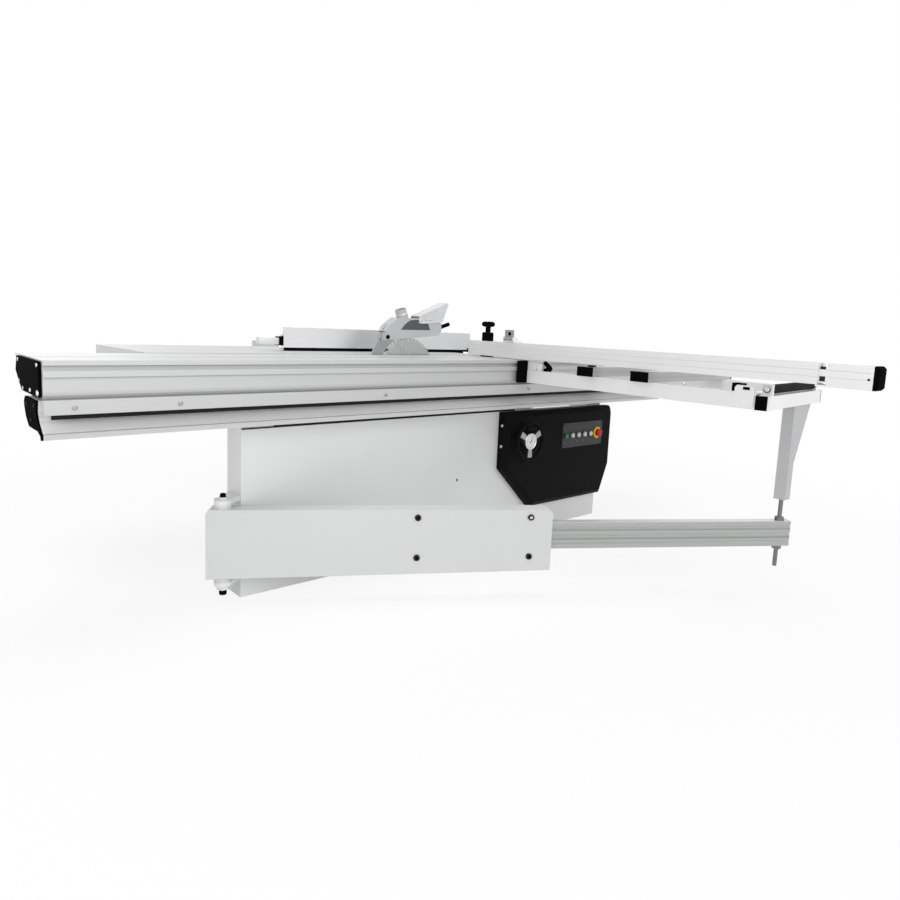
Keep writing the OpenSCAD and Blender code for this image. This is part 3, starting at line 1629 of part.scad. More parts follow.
// Carrier that grips the guide bar and holds the rip fence from behind.
module rip_carrier() {
    mouth_h = stud_d + 6;
    r = guide_d / 2;
    x0 = guide_x - r - carrier_wall / 2;
    x1 = guide_x + r + carrier_wall;
    y1 = rip_y + carrier_w;
    color(black_plastic) difference() {
        union() {
            block([x0, rip_y, guide_z - r - carrier_wall], [x1, y1, rip_z]);
            block([x0, rip_y + rip_t, rip_z], [x1, y1, rip_z + rip_h - carrier_wall]);
        }
        translate([guide_x, rip_y - 1, guide_z]) bar_y(guide_d + 2 * run_fit, carrier_w + 2);
        block([x0 - 1, rip_y - 1, guide_z - mouth_h / 2], [guide_x, y1 + 1, guide_z + mouth_h / 2]);
        translate([x1 - lock_in, lock_y, lock_z])
            bar_x(stem_d + 2 * run_fit, lock_in + 1);
    }
}

// Clamp lever of the rip fence's carrier.
module rip_lock() {
    hub_h = 20;
    hub = 36;
    lever_l = 85;
    ball_d = 30;
    x1 = guide_x + guide_d / 2 + carrier_wall;
    color(black_plastic) translate([x1, lock_y, lock_z]) {
        translate([1 - lock_in, 0, 0]) bar_x(stem_d, lock_in + hub_h - 1);
        translate([pass_gap, 0, 0]) bar_x(hub, hub_h);
        translate([hub_h / 2 + 4, 0, 0]) rotate([-70, 0, 0]) {
            cylinder(d = stem_d, h = lever_l);
            translate([0, 0, lever_l]) sphere(d = ball_d);
        }
    }
}

cast_table();
outfeed_table();
side_table();
front_stand();
stand_columns();
slide_beam();
beam_caps();
base_plate();
cabinet_ends();
cabinet_side();
cabinet_door();
arm_pivot();
control_housing();
button_panel();
guide_bar();
trunnion_rails();
carriage();
carriage_caps();
roller_cage();
frame_mounts();
frame_beams();
support_bars();
frame_caps();
support_post();
frame_brackets();
edge_roller();
table_knob();
crosscut_fence();
fence_clamp();
fence_handle();
fence_extension();
fence_cap();
flip_stop();
swing_arm();
guide_rollers();
inner_arm();
support_rod();
saw_cradle();
lift_slide();
motor();
motor_pulley();
drive_belt();
arbor();
main_blade();
scoring_blade();
riving_knife();
guard_hood();
guard_lever();
guard_visor();
handwheel();
green_button();
white_button_1();
white_button_2();
white_button_3();
white_button_4();
stop_button();
rip_fence();
rip_trim();
rip_carrier();
rip_lock();
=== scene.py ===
"""Looks of a sliding table saw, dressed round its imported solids.

Every class below is one sub-assembly or one finish. Lengths are in metres, in the frame of the solids:
X along the carriage, Y across it towards the rip fence, Z up from the floor. Profiles of turned shapes and
fields that end in _mm are in millimetres.
"""

import logging
import math
from dataclasses import dataclass
from enum import Enum
from itertools import product
from typing import Sequence

import bmesh
import bpy
from mathutils import Matrix, Vector


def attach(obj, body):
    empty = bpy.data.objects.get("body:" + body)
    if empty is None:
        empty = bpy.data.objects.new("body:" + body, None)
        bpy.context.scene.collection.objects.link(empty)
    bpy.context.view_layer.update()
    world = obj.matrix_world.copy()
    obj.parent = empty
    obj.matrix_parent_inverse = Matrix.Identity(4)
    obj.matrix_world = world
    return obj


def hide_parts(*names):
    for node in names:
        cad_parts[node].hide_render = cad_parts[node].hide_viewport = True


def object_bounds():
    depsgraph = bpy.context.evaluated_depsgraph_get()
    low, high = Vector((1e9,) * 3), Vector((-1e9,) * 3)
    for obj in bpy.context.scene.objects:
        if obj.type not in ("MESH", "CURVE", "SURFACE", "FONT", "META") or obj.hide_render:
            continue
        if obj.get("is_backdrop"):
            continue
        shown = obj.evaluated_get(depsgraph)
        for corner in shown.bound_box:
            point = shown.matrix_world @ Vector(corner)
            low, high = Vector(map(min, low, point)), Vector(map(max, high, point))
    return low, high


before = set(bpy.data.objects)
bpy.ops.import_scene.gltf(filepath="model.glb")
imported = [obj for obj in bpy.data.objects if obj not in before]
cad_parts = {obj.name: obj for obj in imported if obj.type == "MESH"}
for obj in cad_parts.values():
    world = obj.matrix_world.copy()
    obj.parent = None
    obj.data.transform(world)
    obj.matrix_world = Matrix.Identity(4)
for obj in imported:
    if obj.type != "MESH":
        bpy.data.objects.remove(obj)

LOG = logging.getLogger("saw")
MM = 0.001
WELD = 1e-6
SMOOTH_ANGLE = math.radians(35.0)
TAPE = 0.4 * MM
MARK_RISE = 0.45 * MM
MARK_STEP = 10.0 * MM
ARM_ANGLE = 32.0
WHEEL = (0.487, 0.466)
BLADE = (0.0, 0.776)
# Puts a shape's own X, Y and Z along the frame's Y, Z and X.
LENGTHWISE = Matrix(((0, 0, 1, 0), (1, 0, 0, 0), (0, 1, 0, 0), (0, 0, 0, 1)))
# Sockets of a mix node that carry colours.
MIX_INPUTS, MIX_OUTPUT = (6, 7), 2
Point = tuple[float, float, float]
Flat = tuple[float, float]
Box = tuple[Flat, Flat]
Node = bpy.types.Node
Socket = bpy.types.NodeSocket
Material = bpy.types.Material
Item = bpy.types.Object
Shape = bmesh.types.BMesh


class Grain(Enum):
    """Direction of the brush marks on a metal."""

    ALONG_X = "x"
    ALONG_Y = "y"
    ALONG_ARM = "arm"
    CAST = "cast"


class Facing(Enum):
    """Direction in which a fastener or a plate looks, as a turn of the Z axis."""

    UP = (0.0, 0.0, 0.0)
    NEAR = (math.pi / 2, 0.0, 0.0)
    FAR = (-math.pi / 2, 0.0, 0.0)
    REAR = (0.0, -math.pi / 2, 0.0)
    FRONT = (0.0, math.pi / 2, 0.0)


class Wiring:
    """Node tree that is built step by step."""

    def __init__(self, tree: bpy.types.NodeTree) -> None:
        """Takes over a tree and empties it."""
        self.tree = tree
        self.tree.nodes.clear()

    def add(self, kind: str, values: dict[str | int, object] | None = None, **settings: object) -> Node:
        """Adds a node.

        Args:
            kind: Blender's name of the node type.
            values: Constants of its input sockets, by name or index.
            settings: Properties to set on the node.

        Returns:
            The new node.
        """
        node = self.tree.nodes.new(kind)
        for key, value in settings.items():
            setattr(node, key, value)
        for key, value in (values or {}).items():
            node.inputs[key].default_value = value
        return node

    def join(self, source: Socket, target: Socket) -> None:
        """Links an output to an input."""
        self.tree.links.new(source, target)


class Shader(Wiring):
    """Node tree of one material."""

    def __init__(self, name: str) -> None:
        """Starts a material with a principled surface and Object coordinates.

        Args:
            name: Name of the material.
        """
        self.material = bpy.data.materials.new(name)
        self.material.use_nodes = True
        super().__init__(self.material.node_tree)
        self.surface = self.add("ShaderNodeBsdfPrincipled")
        output = self.add("ShaderNodeOutputMaterial")
        self.join(self.surface.outputs["BSDF"], output.inputs["Surface"])
        self.place = self.add("ShaderNodeTexCoord").outputs["Object"]

    def stretched(self, scale: Point, turn: float = 0.0, shift: Point = (0.0, 0.0, 0.0)) -> Socket:
        """Maps Object coordinates.

        Args:
            scale: Factor on each axis.
            turn: Angle about Z in degrees.
            shift: Offset added after turning.

        Returns:
            The mapped vector.
        """
        values = {"Location": shift, "Rotation": (0.0, 0.0, math.radians(turn)), "Scale": scale}
        node = self.add("ShaderNodeMapping", values)
        self.join(self.place, node.inputs["Vector"])
        return node.outputs["Vector"]

    def noise(self, scale: float, detail: float = 3.0, at: Socket | None = None) -> Socket:
        """Adds a noise field.

        Args:
            scale: Frequency of the noise.
            detail: Number of octaves.
            at: Vector to read, or None for plain Object coordinates.

        Returns:
            The noise value.
        """
        node = self.add("ShaderNodeTexNoise", {"Scale": scale, "Detail": detail})
        self.join(at or self.place, node.inputs["Vector"])
        return node.outputs["Fac"]

    def ramp(self, value: Socket, low: float, high: float) -> Socket:
        """Spreads a value between two limits to the range from 0 to 1.

        Args:
            value: Value to spread.
            low: Value that becomes 0.
            high: Value that becomes 1.

        Returns:
            The spread value.
        """
        node = self.add("ShaderNodeMapRange", {"From Min": low, "From Max": high})
        self.join(value, node.inputs["Value"])
        return node.outputs["Result"]

    def between(self, value: Socket, low: float, high: float) -> Socket:
        """Spreads a 0 to 1 value over an output range.

        Args:
            value: Value to spread.
            low: Result at 0.
            high: Result at 1.

        Returns:
            The spread value.
        """
        node = self.add("ShaderNodeMapRange", {"To Min": low, "To Max": high})
        self.join(value, node.inputs["Value"])
        return node.outputs["Result"]

    def blend(self, factor: Socket, one: object, two: object) -> Socket:
        """Mixes two colours, each a tone or an output.

        Args:
            factor: Share of the second colour.
            one: First tone (r, g, b) or socket.
            two: Second tone (r, g, b) or socket.

        Returns:
            The mixed colour.
        """
        node = self.add("ShaderNodeMix", data_type="RGBA")
        self.join(factor, node.inputs[0])
        for index, colour in zip(MIX_INPUTS, (one, two)):
            if isinstance(colour, Socket):
                self.join(colour, node.inputs[index])
            else:
                node.inputs[index].default_value = (*colour, 1.0)
        return node.outputs[MIX_OUTPUT]

    def edges(self, radius: float) -> tuple[Socket, Socket]:
        """Finds rounded edges.

        Args:
            radius: Radius of the rounding.

        Returns:
            The rounded normal, and a mask that is 1 on an edge.
        """
        bevel = self.add("ShaderNodeBevel", {"Radius": radius}, samples=4)
        flat = self.add("ShaderNodeNewGeometry")
        dot = self.add("ShaderNodeVectorMath", operation="DOT_PRODUCT")
        self.join(bevel.outputs["Normal"], dot.inputs[0])
        self.join(flat.outputs["Normal"], dot.inputs[1])
        return bevel.outputs["Normal"], self.ramp(dot.outputs["Value"], 0.995, 0.86)

    def relief(self, height: Socket, depth: float, normal: Socket | None = None) -> None:
        """Adds a bump to the surface.

        Args:
            height: Height field from 0 to 1.
            depth: Height in metres at 1.
            normal: Normal to bend, or None for the mesh's own.
        """
        node = self.add("ShaderNodeBump", {"Distance": depth})
        self.join(height, node.inputs["Height"])
        if normal is not None:
            self.join(normal, node.inputs["Normal"])
        self.join(node.outputs["Normal"], self.surface.inputs["Normal"])

    def paint(self, colour: Socket, roughness: Socket) -> None:
        """Links colour and roughness to the surface."""
        self.join(colour, self.surface.inputs["Base Color"])
        self.join(roughness, self.surface.inputs["Roughness"])

    def paint_light_bands(self, colour: Socket, tone: Point, painted_light_bands: Sequence[Point]) -> Socket:
        """Paints light and shade into level strips of a colour.

        Args:
            colour: Colour to shade.
            tone: Tone that the painted light starts from.
            painted_light_bands: For each strip of painted light the height of its edge, the height where it
                has faded and its factor, below 1 for painted shade and above 1 for a painted highlight.

        Returns:
            The shaded colour.
        """
        parts = self.add("ShaderNodeSeparateXYZ")
        self.join(self.place, parts.inputs["Vector"])
        for edge, end, factor in painted_light_bands:
            mask = self.add("ShaderNodeMath", operation="MULTIPLY")
            self.join(self.ramp(parts.outputs["Z"], end, edge), mask.inputs[0])
            stop = edge - math.copysign(1 * MM, end - edge)
            self.join(self.ramp(parts.outputs["Z"], stop, edge), mask.inputs[1])
            colour = self.blend(mask.outputs["Value"], colour, tint(tone, factor))
        return colour

    def set(self, **values: object) -> None:
        """Sets constant sockets of the surface; an underscore in a name stands for a space."""
        for key, value in values.items():
            self.surface.inputs[key.replace("_", " ")].default_value = value


def tint(tone: Point, factor: float) -> Point:
    """Scales a colour and keeps it below white."""
    return tuple(min(channel * factor, 1.0) for channel in tone)


@dataclass(frozen=True)
class Paint:
    """Powder coat: faint clouds, orange peel, slightly rubbed edges and painted light in level strips."""

    name: str
    tone: Point
    roughness: float = 0.42
    rub: float = 1.06
    painted_light_bands: tuple[Point, ...] = ()

    def material(self) -> Material:
        """Makes the material.

        Returns:
            The new material.
        """
        shader = Shader(self.name)
        normal, edge = shader.edges(1.6 * MM)
        clouds = shader.blend(shader.noise(2.2), tint(self.tone, 0.965), tint(self.tone, 1.03))
        grime = shader.ramp(shader.noise(11.0, 6.0), 0.62, 0.80)
        soiled_with_painted_light = shader.blend(shader.between(grime, 0.0, 0.10), clouds, tint(self.tone, 0.70))
        # Painted light: level strips of painted highlight and shade, added over the coat's clouds and grime.
        soiled_with_painted_light = shader.paint_light_bands(soiled_with_painted_light, self.tone, self.painted_light_bands)
        colour = shader.blend(shader.between(edge, 0.0, 0.55), soiled_with_painted_light, tint(self.tone, self.rub))
        shader.paint(colour, shader.between(shader.noise(30.0), self.roughness - 0.05, self.roughness + 0.07))
        shader.relief(shader.noise(520.0, 2.0), 0.10 * MM, normal)
        shader.set(Specular_IOR_Level=0.5)
        return shader.material


@dataclass(frozen=True)
class Metal:
    """Bare metal with brush marks along one direction, or a cast skin, with painted shade and painted
    highlights in level strips, such as shade in the carriage's cove.
    """

    name: str
    tone: Point
    roughness: float
    grain: Grain
    metallic: float = 1.0
    marks: float = 0.05
    painted_light_bands: tuple[Point, ...] = ()

    def material(self) -> Material:
        """Makes the material.

        Returns:
            The new material.
        """
        shader = Shader(self.name)
        normal, edge = shader.edges(0.8 * MM)
        scales = {
            Grain.ALONG_X: (3.0, 900.0, 900.0),
            Grain.ALONG_Y: (900.0, 3.0, 900.0),
            Grain.ALONG_ARM: (3.0, 900.0, 900.0),
            Grain.CAST: (260.0, 260.0, 260.0),
        }
        turn = ARM_ANGLE if self.grain is Grain.ALONG_ARM else 0.0
        streaks = shader.noise(1.0, 3.0, shader.stretched(scales[self.grain], turn))
        broad = shader.noise(4.0, 4.0)
        shades = shader.blend(streaks, tint(self.tone, 0.93), tint(self.tone, 1.05))
        stained_with_painted_light = shader.blend(shader.between(broad, 0.0, 0.22), shades, tint(self.tone, 0.82))
        # Painted light: level strips of painted shade and highlight, added over the metal's streaks and
        # stains.
        stained_with_painted_light = shader.paint_light_bands(stained_with_painted_light, self.tone, self.painted_light_bands)
        colour = shader.blend(shader.between(edge, 0.0, 0.5), stained_with_painted_light, tint(self.tone, 1.15))
        shader.paint(colour, shader.between(streaks, self.roughness - 0.07, self.roughness + 0.10))
        shader.relief(streaks, self.marks * MM, normal)
        shader.set(Metallic=self.metallic)
        return shader.material


@dataclass(frozen=True)
class Turned:
    """Machined steel with rings about one axis parallel to Y."""

    name: str
    tone: Point
    roughness: float
    centre: Flat

    def material(self) -> Material:
        """Makes the material.

        Returns:
            The new material.
        """
        shader = Shader(self.name)
        normal, edge = shader.edges(0.5 * MM)
        values = {"Scale": 160.0, "Distortion": 2.5, "Detail": 3.0}
        wave = shader.add("ShaderNodeTexWave", values, wave_type="RINGS", rings_direction="Y")
        centred = shader.stretched((1.0, 1.0, 1.0), 0.0, (-self.centre[0], 0.0, -self.centre[1]))
        shader.join(centred, wave.inputs["Vector"])
        colour = shader.blend(wave.outputs["Fac"], tint(self.tone, 0.90), tint(self.tone, 1.06))
        worn = shader.blend(shader.between(edge, 0.0, 0.6), colour, tint(self.tone, 1.2))
        smear = shader.noise(14.0, 5.0)
        shader.paint(worn, shader.between(smear, self.roughness - 0.06, self.roughness + 0.12))
        shader.relief(wave.outputs["Fac"], 0.02 * MM, normal)
        shader.set(Metallic=1.0)
        return shader.material


@dataclass(frozen=True)
class Plastic:
    """Moulded plastic or rubber with a fine grain and dusty recesses."""

    name: str
    tone: Point
    roughness: float = 0.5
    grain: float = 700.0
    depth: float = 0.08
    dust: float = 1.7
    shine: float = 0.2

    def material(self) -> Material:
        """Makes the material.

        Returns:
            The new material.
        """
        shader = Shader(self.name)
        normal, edge = shader.edges(1.2 * MM)
        specks = shader.noise(self.grain, 2.0)
        clouds = shader.blend(shader.noise(6.0, 5.0), tint(self.tone, 0.9), tint(self.tone, 1.12))
        colour = shader.blend(shader.between(edge, 0.0, 0.4), clouds, tint(self.tone, self.dust))
        smear = shader.noise(22.0, 4.0)
        shader.paint(colour, shader.between(smear, self.roughness - 0.06, self.roughness + 0.10))
        shader.relief(specks, self.depth * MM, normal)
        shader.set(Specular_IOR_Level=self.shine)
        return shader.material


@dataclass(frozen=True)
class Clear:
    """Smoked plastic with a film of dust and fine scuffs."""

    name: str
    tone: Point
    roughness: float
    transmission: float

    def material(self) -> Material:
        """Makes the material.

        Returns:
            The new material.
        """
        shader = Shader(self.name)
        scuffs = shader.noise(1.0, 4.0, shader.stretched((40.0, 260.0, 160.0)))
        colour = shader.blend(scuffs, tint(self.tone, 0.86), self.tone)
        shader.paint(colour, shader.between(scuffs, self.roughness - 0.05, self.roughness + 0.25))
        shader.relief(scuffs, 0.05 * MM)
        shader.set(Transmission_Weight=self.transmission, IOR=1.49)
        return shader.material


@dataclass(frozen=True)
class WheelCoat:
    """Handwheel: bare spokes in a black rim, told apart by their distance from the shaft; a black grip."""

    name: str
    centre: Flat
    black: Point
    bare: Point
    rim_from: float
    grip_from: float

    def material(self) -> Material:
        """Makes the material.

        Returns:
            The new material.
        """
        shader = Shader(self.name)
        normal, edge = shader.edges(1.0 * MM)
        flat = shader.stretched((1.0, 0.0, 1.0), 0.0, (-self.centre[0], 0.0, -self.centre[1]))
        length = shader.add("ShaderNodeVectorMath", operation="LENGTH")
        shader.join(flat, length.inputs[0])
        parts = shader.add("ShaderNodeSeparateXYZ")
        shader.join(flat, parts.inputs["Vector"])
        most = shader.add("ShaderNodeMath", operation="MAXIMUM")
        soft = 0.5 * MM
        limits = ((length.outputs["Value"], self.rim_from), (parts.outputs["Z"], self.grip_from))
        for target, (value, limit) in zip(most.inputs, limits):
            shader.join(shader.ramp(value, limit - soft, limit + soft), target)
        rim = most.outputs["Value"]
        streaks = shader.noise(1.0, 3.0, shader.stretched((180.0, 180.0, 900.0)))
        bare = shader.blend(streaks, tint(self.bare, 0.88), self.bare)
        black = shader.blend(shader.noise(9.0, 4.0), tint(self.black, 0.8), tint(self.black, 1.3))
        shader.paint(shader.blend(rim, bare, black), shader.between(rim, 0.36, 0.62))
        shader.join(shader.between(rim, 0.5, 0.06), shader.surface.inputs["Specular IOR Level"])
        shader.relief(shader.noise(600.0, 2.0), 0.05 * MM, normal)
        metal = shader.add("ShaderNodeMath", {0: 1.0}, operation="SUBTRACT")
        shader.join(rim, metal.inputs[1])
        shader.join(metal.outputs["Value"], shader.surface.inputs["Metallic"])
        return shader.material


class Stock:
    """The finishes of this machine, each made once."""

    def __init__(self) -> None:
        """Makes every finish."""
        black = (0.0038, 0.0038, 0.004)
        self.white = Paint("white_coat", (0.80, 0.815, 0.805)).material()
        self.frame = Paint("frame_coat", (0.93, 0.94, 0.93)).material()
        self.table = Paint("table_coat", (0.60, 0.61, 0.605)).material()
        # The arm coat's strip just below its top edge is brighter: a painted highlight.
        self.swing = Paint("arm_coat", (0.67, 0.685, 0.675), painted_light_bands=((0.3535, 0.3495, 1.35),)).material()
        # Painted shade: darker strips in the carriage's cove and in each groove, where shade falls.
        groove_shade = ((0.743, 0.767, 0.60), (0.836, 0.820, 0.62), (0.8035, 0.796, 0.72))
        alloy = (0.54, 0.55, 0.545)
        self.carriage = Metal("carriage_anodised", alloy, 0.42, Grain.ALONG_X, 0.5, 0.02, groove_shade).material()
        # Painted shade: the beam's face below its crease is darker.
        under = ((0.6495, 0.30, 0.60),)
        pale = (0.95, 0.96, 0.955)
        self.beam = Metal("beam_anodised", pale, 0.5, Grain.ALONG_X, 0.1, 0.02, under).material()
        self.rail = Metal("rip_anodised", (0.76, 0.775, 0.78), 0.5, Grain.ALONG_X, 0.25, 0.02).material()
        self.bars = Metal("bar_anodised", (0.50, 0.505, 0.50), 0.4, Grain.ALONG_X, 0.7, 0.02).material()
        self.post = Metal("post_anodised", (0.52, 0.525, 0.53), 0.45, Grain.CAST, 0.6, 0.02).material()
        self.fence = Metal("fence_anodised", (0.86, 0.865, 0.86), 0.42, Grain.ALONG_Y, 0.4, 0.02).material()
        # Painted light on the inner arm: one bright strip as a painted highlight and two dark strips as
        # painted shade.
        arm_light_strips = ((0.2875, 0.2840, 2.0), (0.2527, 0.2627, 0.62), (0.2193, 0.2303, 0.58))
        dull = (0.43, 0.44, 0.43)
        self.arm = Metal("arm_anodised", dull, 0.36, Grain.ALONG_ARM, 0.6, 0.03, arm_light_strips).material()
        self.iron = Metal("ground_iron", (0.58, 0.585, 0.59), 0.42, Grain.ALONG_X, 0.45, 0.02).material()
        self.casting = Metal("grey_casting", (0.36, 0.37, 0.38), 0.55, Grain.CAST, 0.7, 0.3).material()
        self.bar = Metal("ground_bar", (0.40, 0.41, 0.42), 0.24, Grain.ALONG_Y, 1.0, 0.02).material()
        self.rod = Metal("rod_steel", (0.20, 0.20, 0.205), 0.34, Grain.CAST, 1.0, 0.05).material()
        self.zinc = Metal("zinc_fasteners", (0.70, 0.71, 0.72), 0.28, Grain.CAST, 1.0, 0.03).material()
        self.blade = Turned("blade_steel", (0.50, 0.51, 0.51), 0.26, BLADE).material()
        self.scoring = Turned("scoring_steel", (0.60, 0.61, 0.62), 0.26, (0.232, 0.785)).material()
        self.pulley = Turned("pulley_steel", (0.50, 0.51, 0.52), 0.34, (0.11, 0.601)).material()
        self.carbide = Metal("carbide", (0.34, 0.34, 0.35), 0.32, Grain.CAST, 1.0, 0.05).material()
        self.black = Plastic("black_moulding", black, 0.70, 700.0, 0.08, 1.7, 0.004).material()
        soot = (0.0045, 0.0045, 0.0045)
        self.housing = Plastic("housing_moulding", soot, 0.6, 420.0, 0.14, 1.5, 0.06).material()
        self.panel = Plastic("panel_foil", (0.045, 0.045, 0.048), 0.42, 900.0, 0.05, 1.2).material()
        self.rubber = Plastic("belt_rubber", (0.018, 0.018, 0.018), 0.78, 300.0, 0.2, 1.4).material()
        self.roller = Plastic("roller_skin", (0.010, 0.009, 0.009), 0.6, 260.0, 0.2, 1.6, 0.04).material()
        self.cage = Plastic("cage_moulding", (0.52, 0.42, 0.16), 0.5).material()
        self.motor = Paint("motor_enamel", (0.10, 0.115, 0.13), 0.32, 1.5).material()
        self.green = Plastic("green_cap", (0.010, 0.25, 0.055), 0.26, 300.0, 0.03, 1.3).material()
        self.cream = Plastic("white_cap", (0.58, 0.59, 0.57), 0.28, 300.0, 0.03, 1.1).material()
        self.red = Plastic("red_cap", (0.56, 0.012, 0.010), 0.26, 300.0, 0.03, 1.3).material()
        self.yellow = Plastic("yellow_plate", (0.78, 0.46, 0.010), 0.4, 300.0, 0.03, 1.1).material()
        self.dial = Plastic("dial_face", (0.80, 0.81, 0.80), 0.35, 300.0, 0.02, 1.05).material()
        self.ink = Plastic("dial_ink", (0.02, 0.02, 0.022), 0.6, 500.0, 0.02, 1.2).material()
        self.sign = Plastic("panel_sign", (0.22, 0.22, 0.22), 0.5, 500.0, 0.02, 1.1).material()
        self.hood = Plastic("guard_moulding", (0.52, 0.535, 0.55), 0.32, 300.0, 0.05, 1.1, 0.4).material()
        self.visor = Plastic("visor_moulding", (0.74, 0.75, 0.765), 0.32, 300.0, 0.05, 1.1, 0.4).material()
        self.smoked = Clear("smoked_window", (0.10, 0.105, 0.115), 0.24, 0.25).material()
        spokes = (0.34, 0.36, 0.38)
        self.wheel = WheelCoat("wheel_coat", WHEEL, black, spokes, 0.0765, 0.0525).material()


class Growth(Wiring):
    """Geometry Nodes tree with named sizes, turned into a plain mesh."""

    def __init__(self, name: str) -> None:
        """Starts a tree with a geometry input and output.

        Args:
            name: Name of the tree.
        """
        super().__init__(bpy.data.node_groups.new(name, "GeometryNodeTree"))
        for way in ("INPUT", "OUTPUT"):
            self.tree.interface.new_socket("Geometry", in_out=way, socket_type="NodeSocketGeometry")
        self.inputs = self.add("NodeGroupInput")
        self.values: dict[str, object] = {}

    def feed(self, target: Socket, name: str, value: object, kind: str = "Float") -> None:
        """Adds a named input and links it.

        Args:
            target: Socket that reads the input.
            name: Name of the input.
            value: Value that the modifier sets.
            kind: End of Blender's name of the socket type.
        """
        socket = self.tree.interface.new_socket(name, in_out="INPUT", socket_type=f"NodeSocket{kind}")
        self.values[socket.identifier] = value
        self.join(self.inputs.outputs[name], target)

    def spread(self, points: Socket, shape: Socket) -> Node:
        """Adds a node that repeats a shape on points.

        Args:
            points: Geometry with the points.
            shape: Geometry to repeat.

        Returns:
            The node.
        """
        node = self.add("GeometryNodeInstanceOnPoints")
        self.join(points, node.inputs["Points"])
        self.join(shape, node.inputs["Instance"])
        return node

    def grow(
        self, name: str, host: bpy.types.Mesh, last: Socket, finish: Material
    ) -> Item:
        """Ends the tree, runs it on a host mesh and keeps the result as a plain mesh.

        Args:
            name: Name of the new piece.
            host: Mesh that enters the tree.
            last: Socket with the finished geometry.
            finish: Material of the piece.

        Returns:
            The new object.
        """
        steps = [
            self.add("GeometryNodeRealizeInstances"),
            self.add("GeometryNodeSetMaterial", {"Material": finish}),
            self.add("NodeGroupOutput"),
        ]
        for step in steps:
            self.join(last, step.inputs["Geometry"])
            last = step.outputs["Geometry"] if step.outputs else last
        piece = placed(name, host)
        modifier = piece.modifiers.new(name, "NODES")
        modifier.node_group = self.tree
        for identifier, value in self.values.items():
            modifier[identifier] = value
        graph = bpy.context.evaluated_depsgraph_get()
        mesh = bpy.data.meshes.new_from_object(piece.evaluated_get(graph), depsgraph=graph)
        piece.modifiers.clear()
        piece.data = mesh
        mesh.name = name
        return piece


def placed(name: str, data: bpy.types.ID) -> Item:
    """Makes an object of some data and links it to the scene.

    Args:
        name: Name of the object.
        data: Mesh, lamp or camera that it shows.

    Returns:
        The new object.
    """
    item = bpy.data.objects.new(name, data)
    bpy.context.scene.collection.objects.link(item)
    return item


def points_mesh(name: str, points: Sequence[Point]) -> bpy.types.Mesh:
    """Makes a mesh of loose points.

    Args:
        name: Name of the mesh.
        points: Places of the points.

    Returns:
        The new mesh.
    """
    mesh = bpy.data.meshes.new(name)
    mesh.from_pydata([tuple(point) for point in points], [], [])
    return mesh


def written(name: str, shape: Shape) -> bpy.types.Mesh:
    """Writes a shape to a new mesh and frees it.

    Args:
        name: Name of the mesh.
        shape: Shape to write.

    Returns:
        The new mesh.
    """
    mesh = bpy.data.meshes.new(name)
    shape.to_mesh(mesh)
    shape.free()
    return mesh


def merged(shapes: Sequence[Shape]) -> Shape:
    """Adds all later shapes to the first one.

    Args:
        shapes: Shapes; all but the first are freed.

    Returns:
        The first shape.
    """
    first, *others = shapes
    for other in others:
        data = written("part", other)
        first.from_mesh(data)
        bpy.data.meshes.remove(data)
    return first


def keep(piece: Item, body: str) -> Item:
    """Fixes a piece to a body.

    Args:
        piece: Finished piece.
        body: Body that it moves with.

    Returns:
        The same piece.
    """
    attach(piece, body)
    LOG.info("%s: %d faces on %s", piece.name, len(piece.data.polygons), body)
    return piece


def fit(name: str, shape: Shape, finish: Material, body: str) -> Item:
    """Turns a shape into a piece with outward faces and keeps it.

    Args:
        name: Name of the piece.
        shape: Its shape, freed here.
        finish: Its material.
        body: Body that it moves with.

    Returns:
        The new piece.
    """
    bmesh.ops.remove_doubles(shape, verts=shape.verts, dist=WELD)
    bmesh.ops.recalc_face_normals(shape, faces=shape.faces)
    for face in shape.faces:
        face.smooth = True
    for edge in shape.edges:
        edge.smooth = len(edge.link_faces) == 2 and edge.calc_face_angle() < SMOOTH_ANGLE
    data = written(name, shape)
    data.materials.append(finish)
    return keep(placed(name, data), body)


def frame_of(facing: Facing, place: Point) -> Matrix:
    """Gives the matrix that puts a shape drawn along Z at a place, looking the given way."""
    turn = Matrix.Rotation(facing.value[1], 4, "Y") @ Matrix.Rotation(facing.value[0], 4, "X")
    return Matrix.Translation(place) @ turn


def level(z: float) -> Matrix:
    """Gives the frame of a plate that lies level at a height."""
    return frame_of(Facing.UP, (0.0, 0.0, z))


def upright(y: float) -> Matrix:
    """Gives the frame of a plate that stands across Y and looks at the operator."""
    return frame_of(Facing.NEAR, (0.0, y, 0.0))


def endways(x: float) -> Matrix:
    """Gives the frame of a plate that stands across X and looks to the rear; its own X runs up."""
    return frame_of(Facing.REAR, (x, 0.0, 0.0))


def turned(profile: Sequence[Flat], matrix: Matrix, segments: int = 24) -> Shape:
    """Turns a profile of (radius, height) about Z.

    Args:
        profile: Points in millimetres, from the axis, up and back to the axis, or a closed ring.
        matrix: Place of the shape.
        segments: Steps round the axis.

    Returns:
        The turned shape.
    """
    mesh = bmesh.new()
    steps = [2 * math.pi * k / segments for k in range(segments)]
    rings = []
    for radius, height in profile:
        spokes = [(math.cos(a), math.sin(a)) for a in steps] if radius else [(0.0, 0.0)]
        rings.append([mesh.verts.new((radius * MM * x, radius * MM * y, height * MM)) for x, y in spokes])
    for low, high in zip(rings, rings[1:]):
        for k in range(segments):
            places = ((low, k), (low, k + 1), (high, k + 1), (high, k))
            unique = list(dict.fromkeys(ring[i % len(ring)] for ring, i in places))
            if len(unique) > 2:
                mesh.faces.new(unique)
    mesh.transform(matrix)
    return mesh


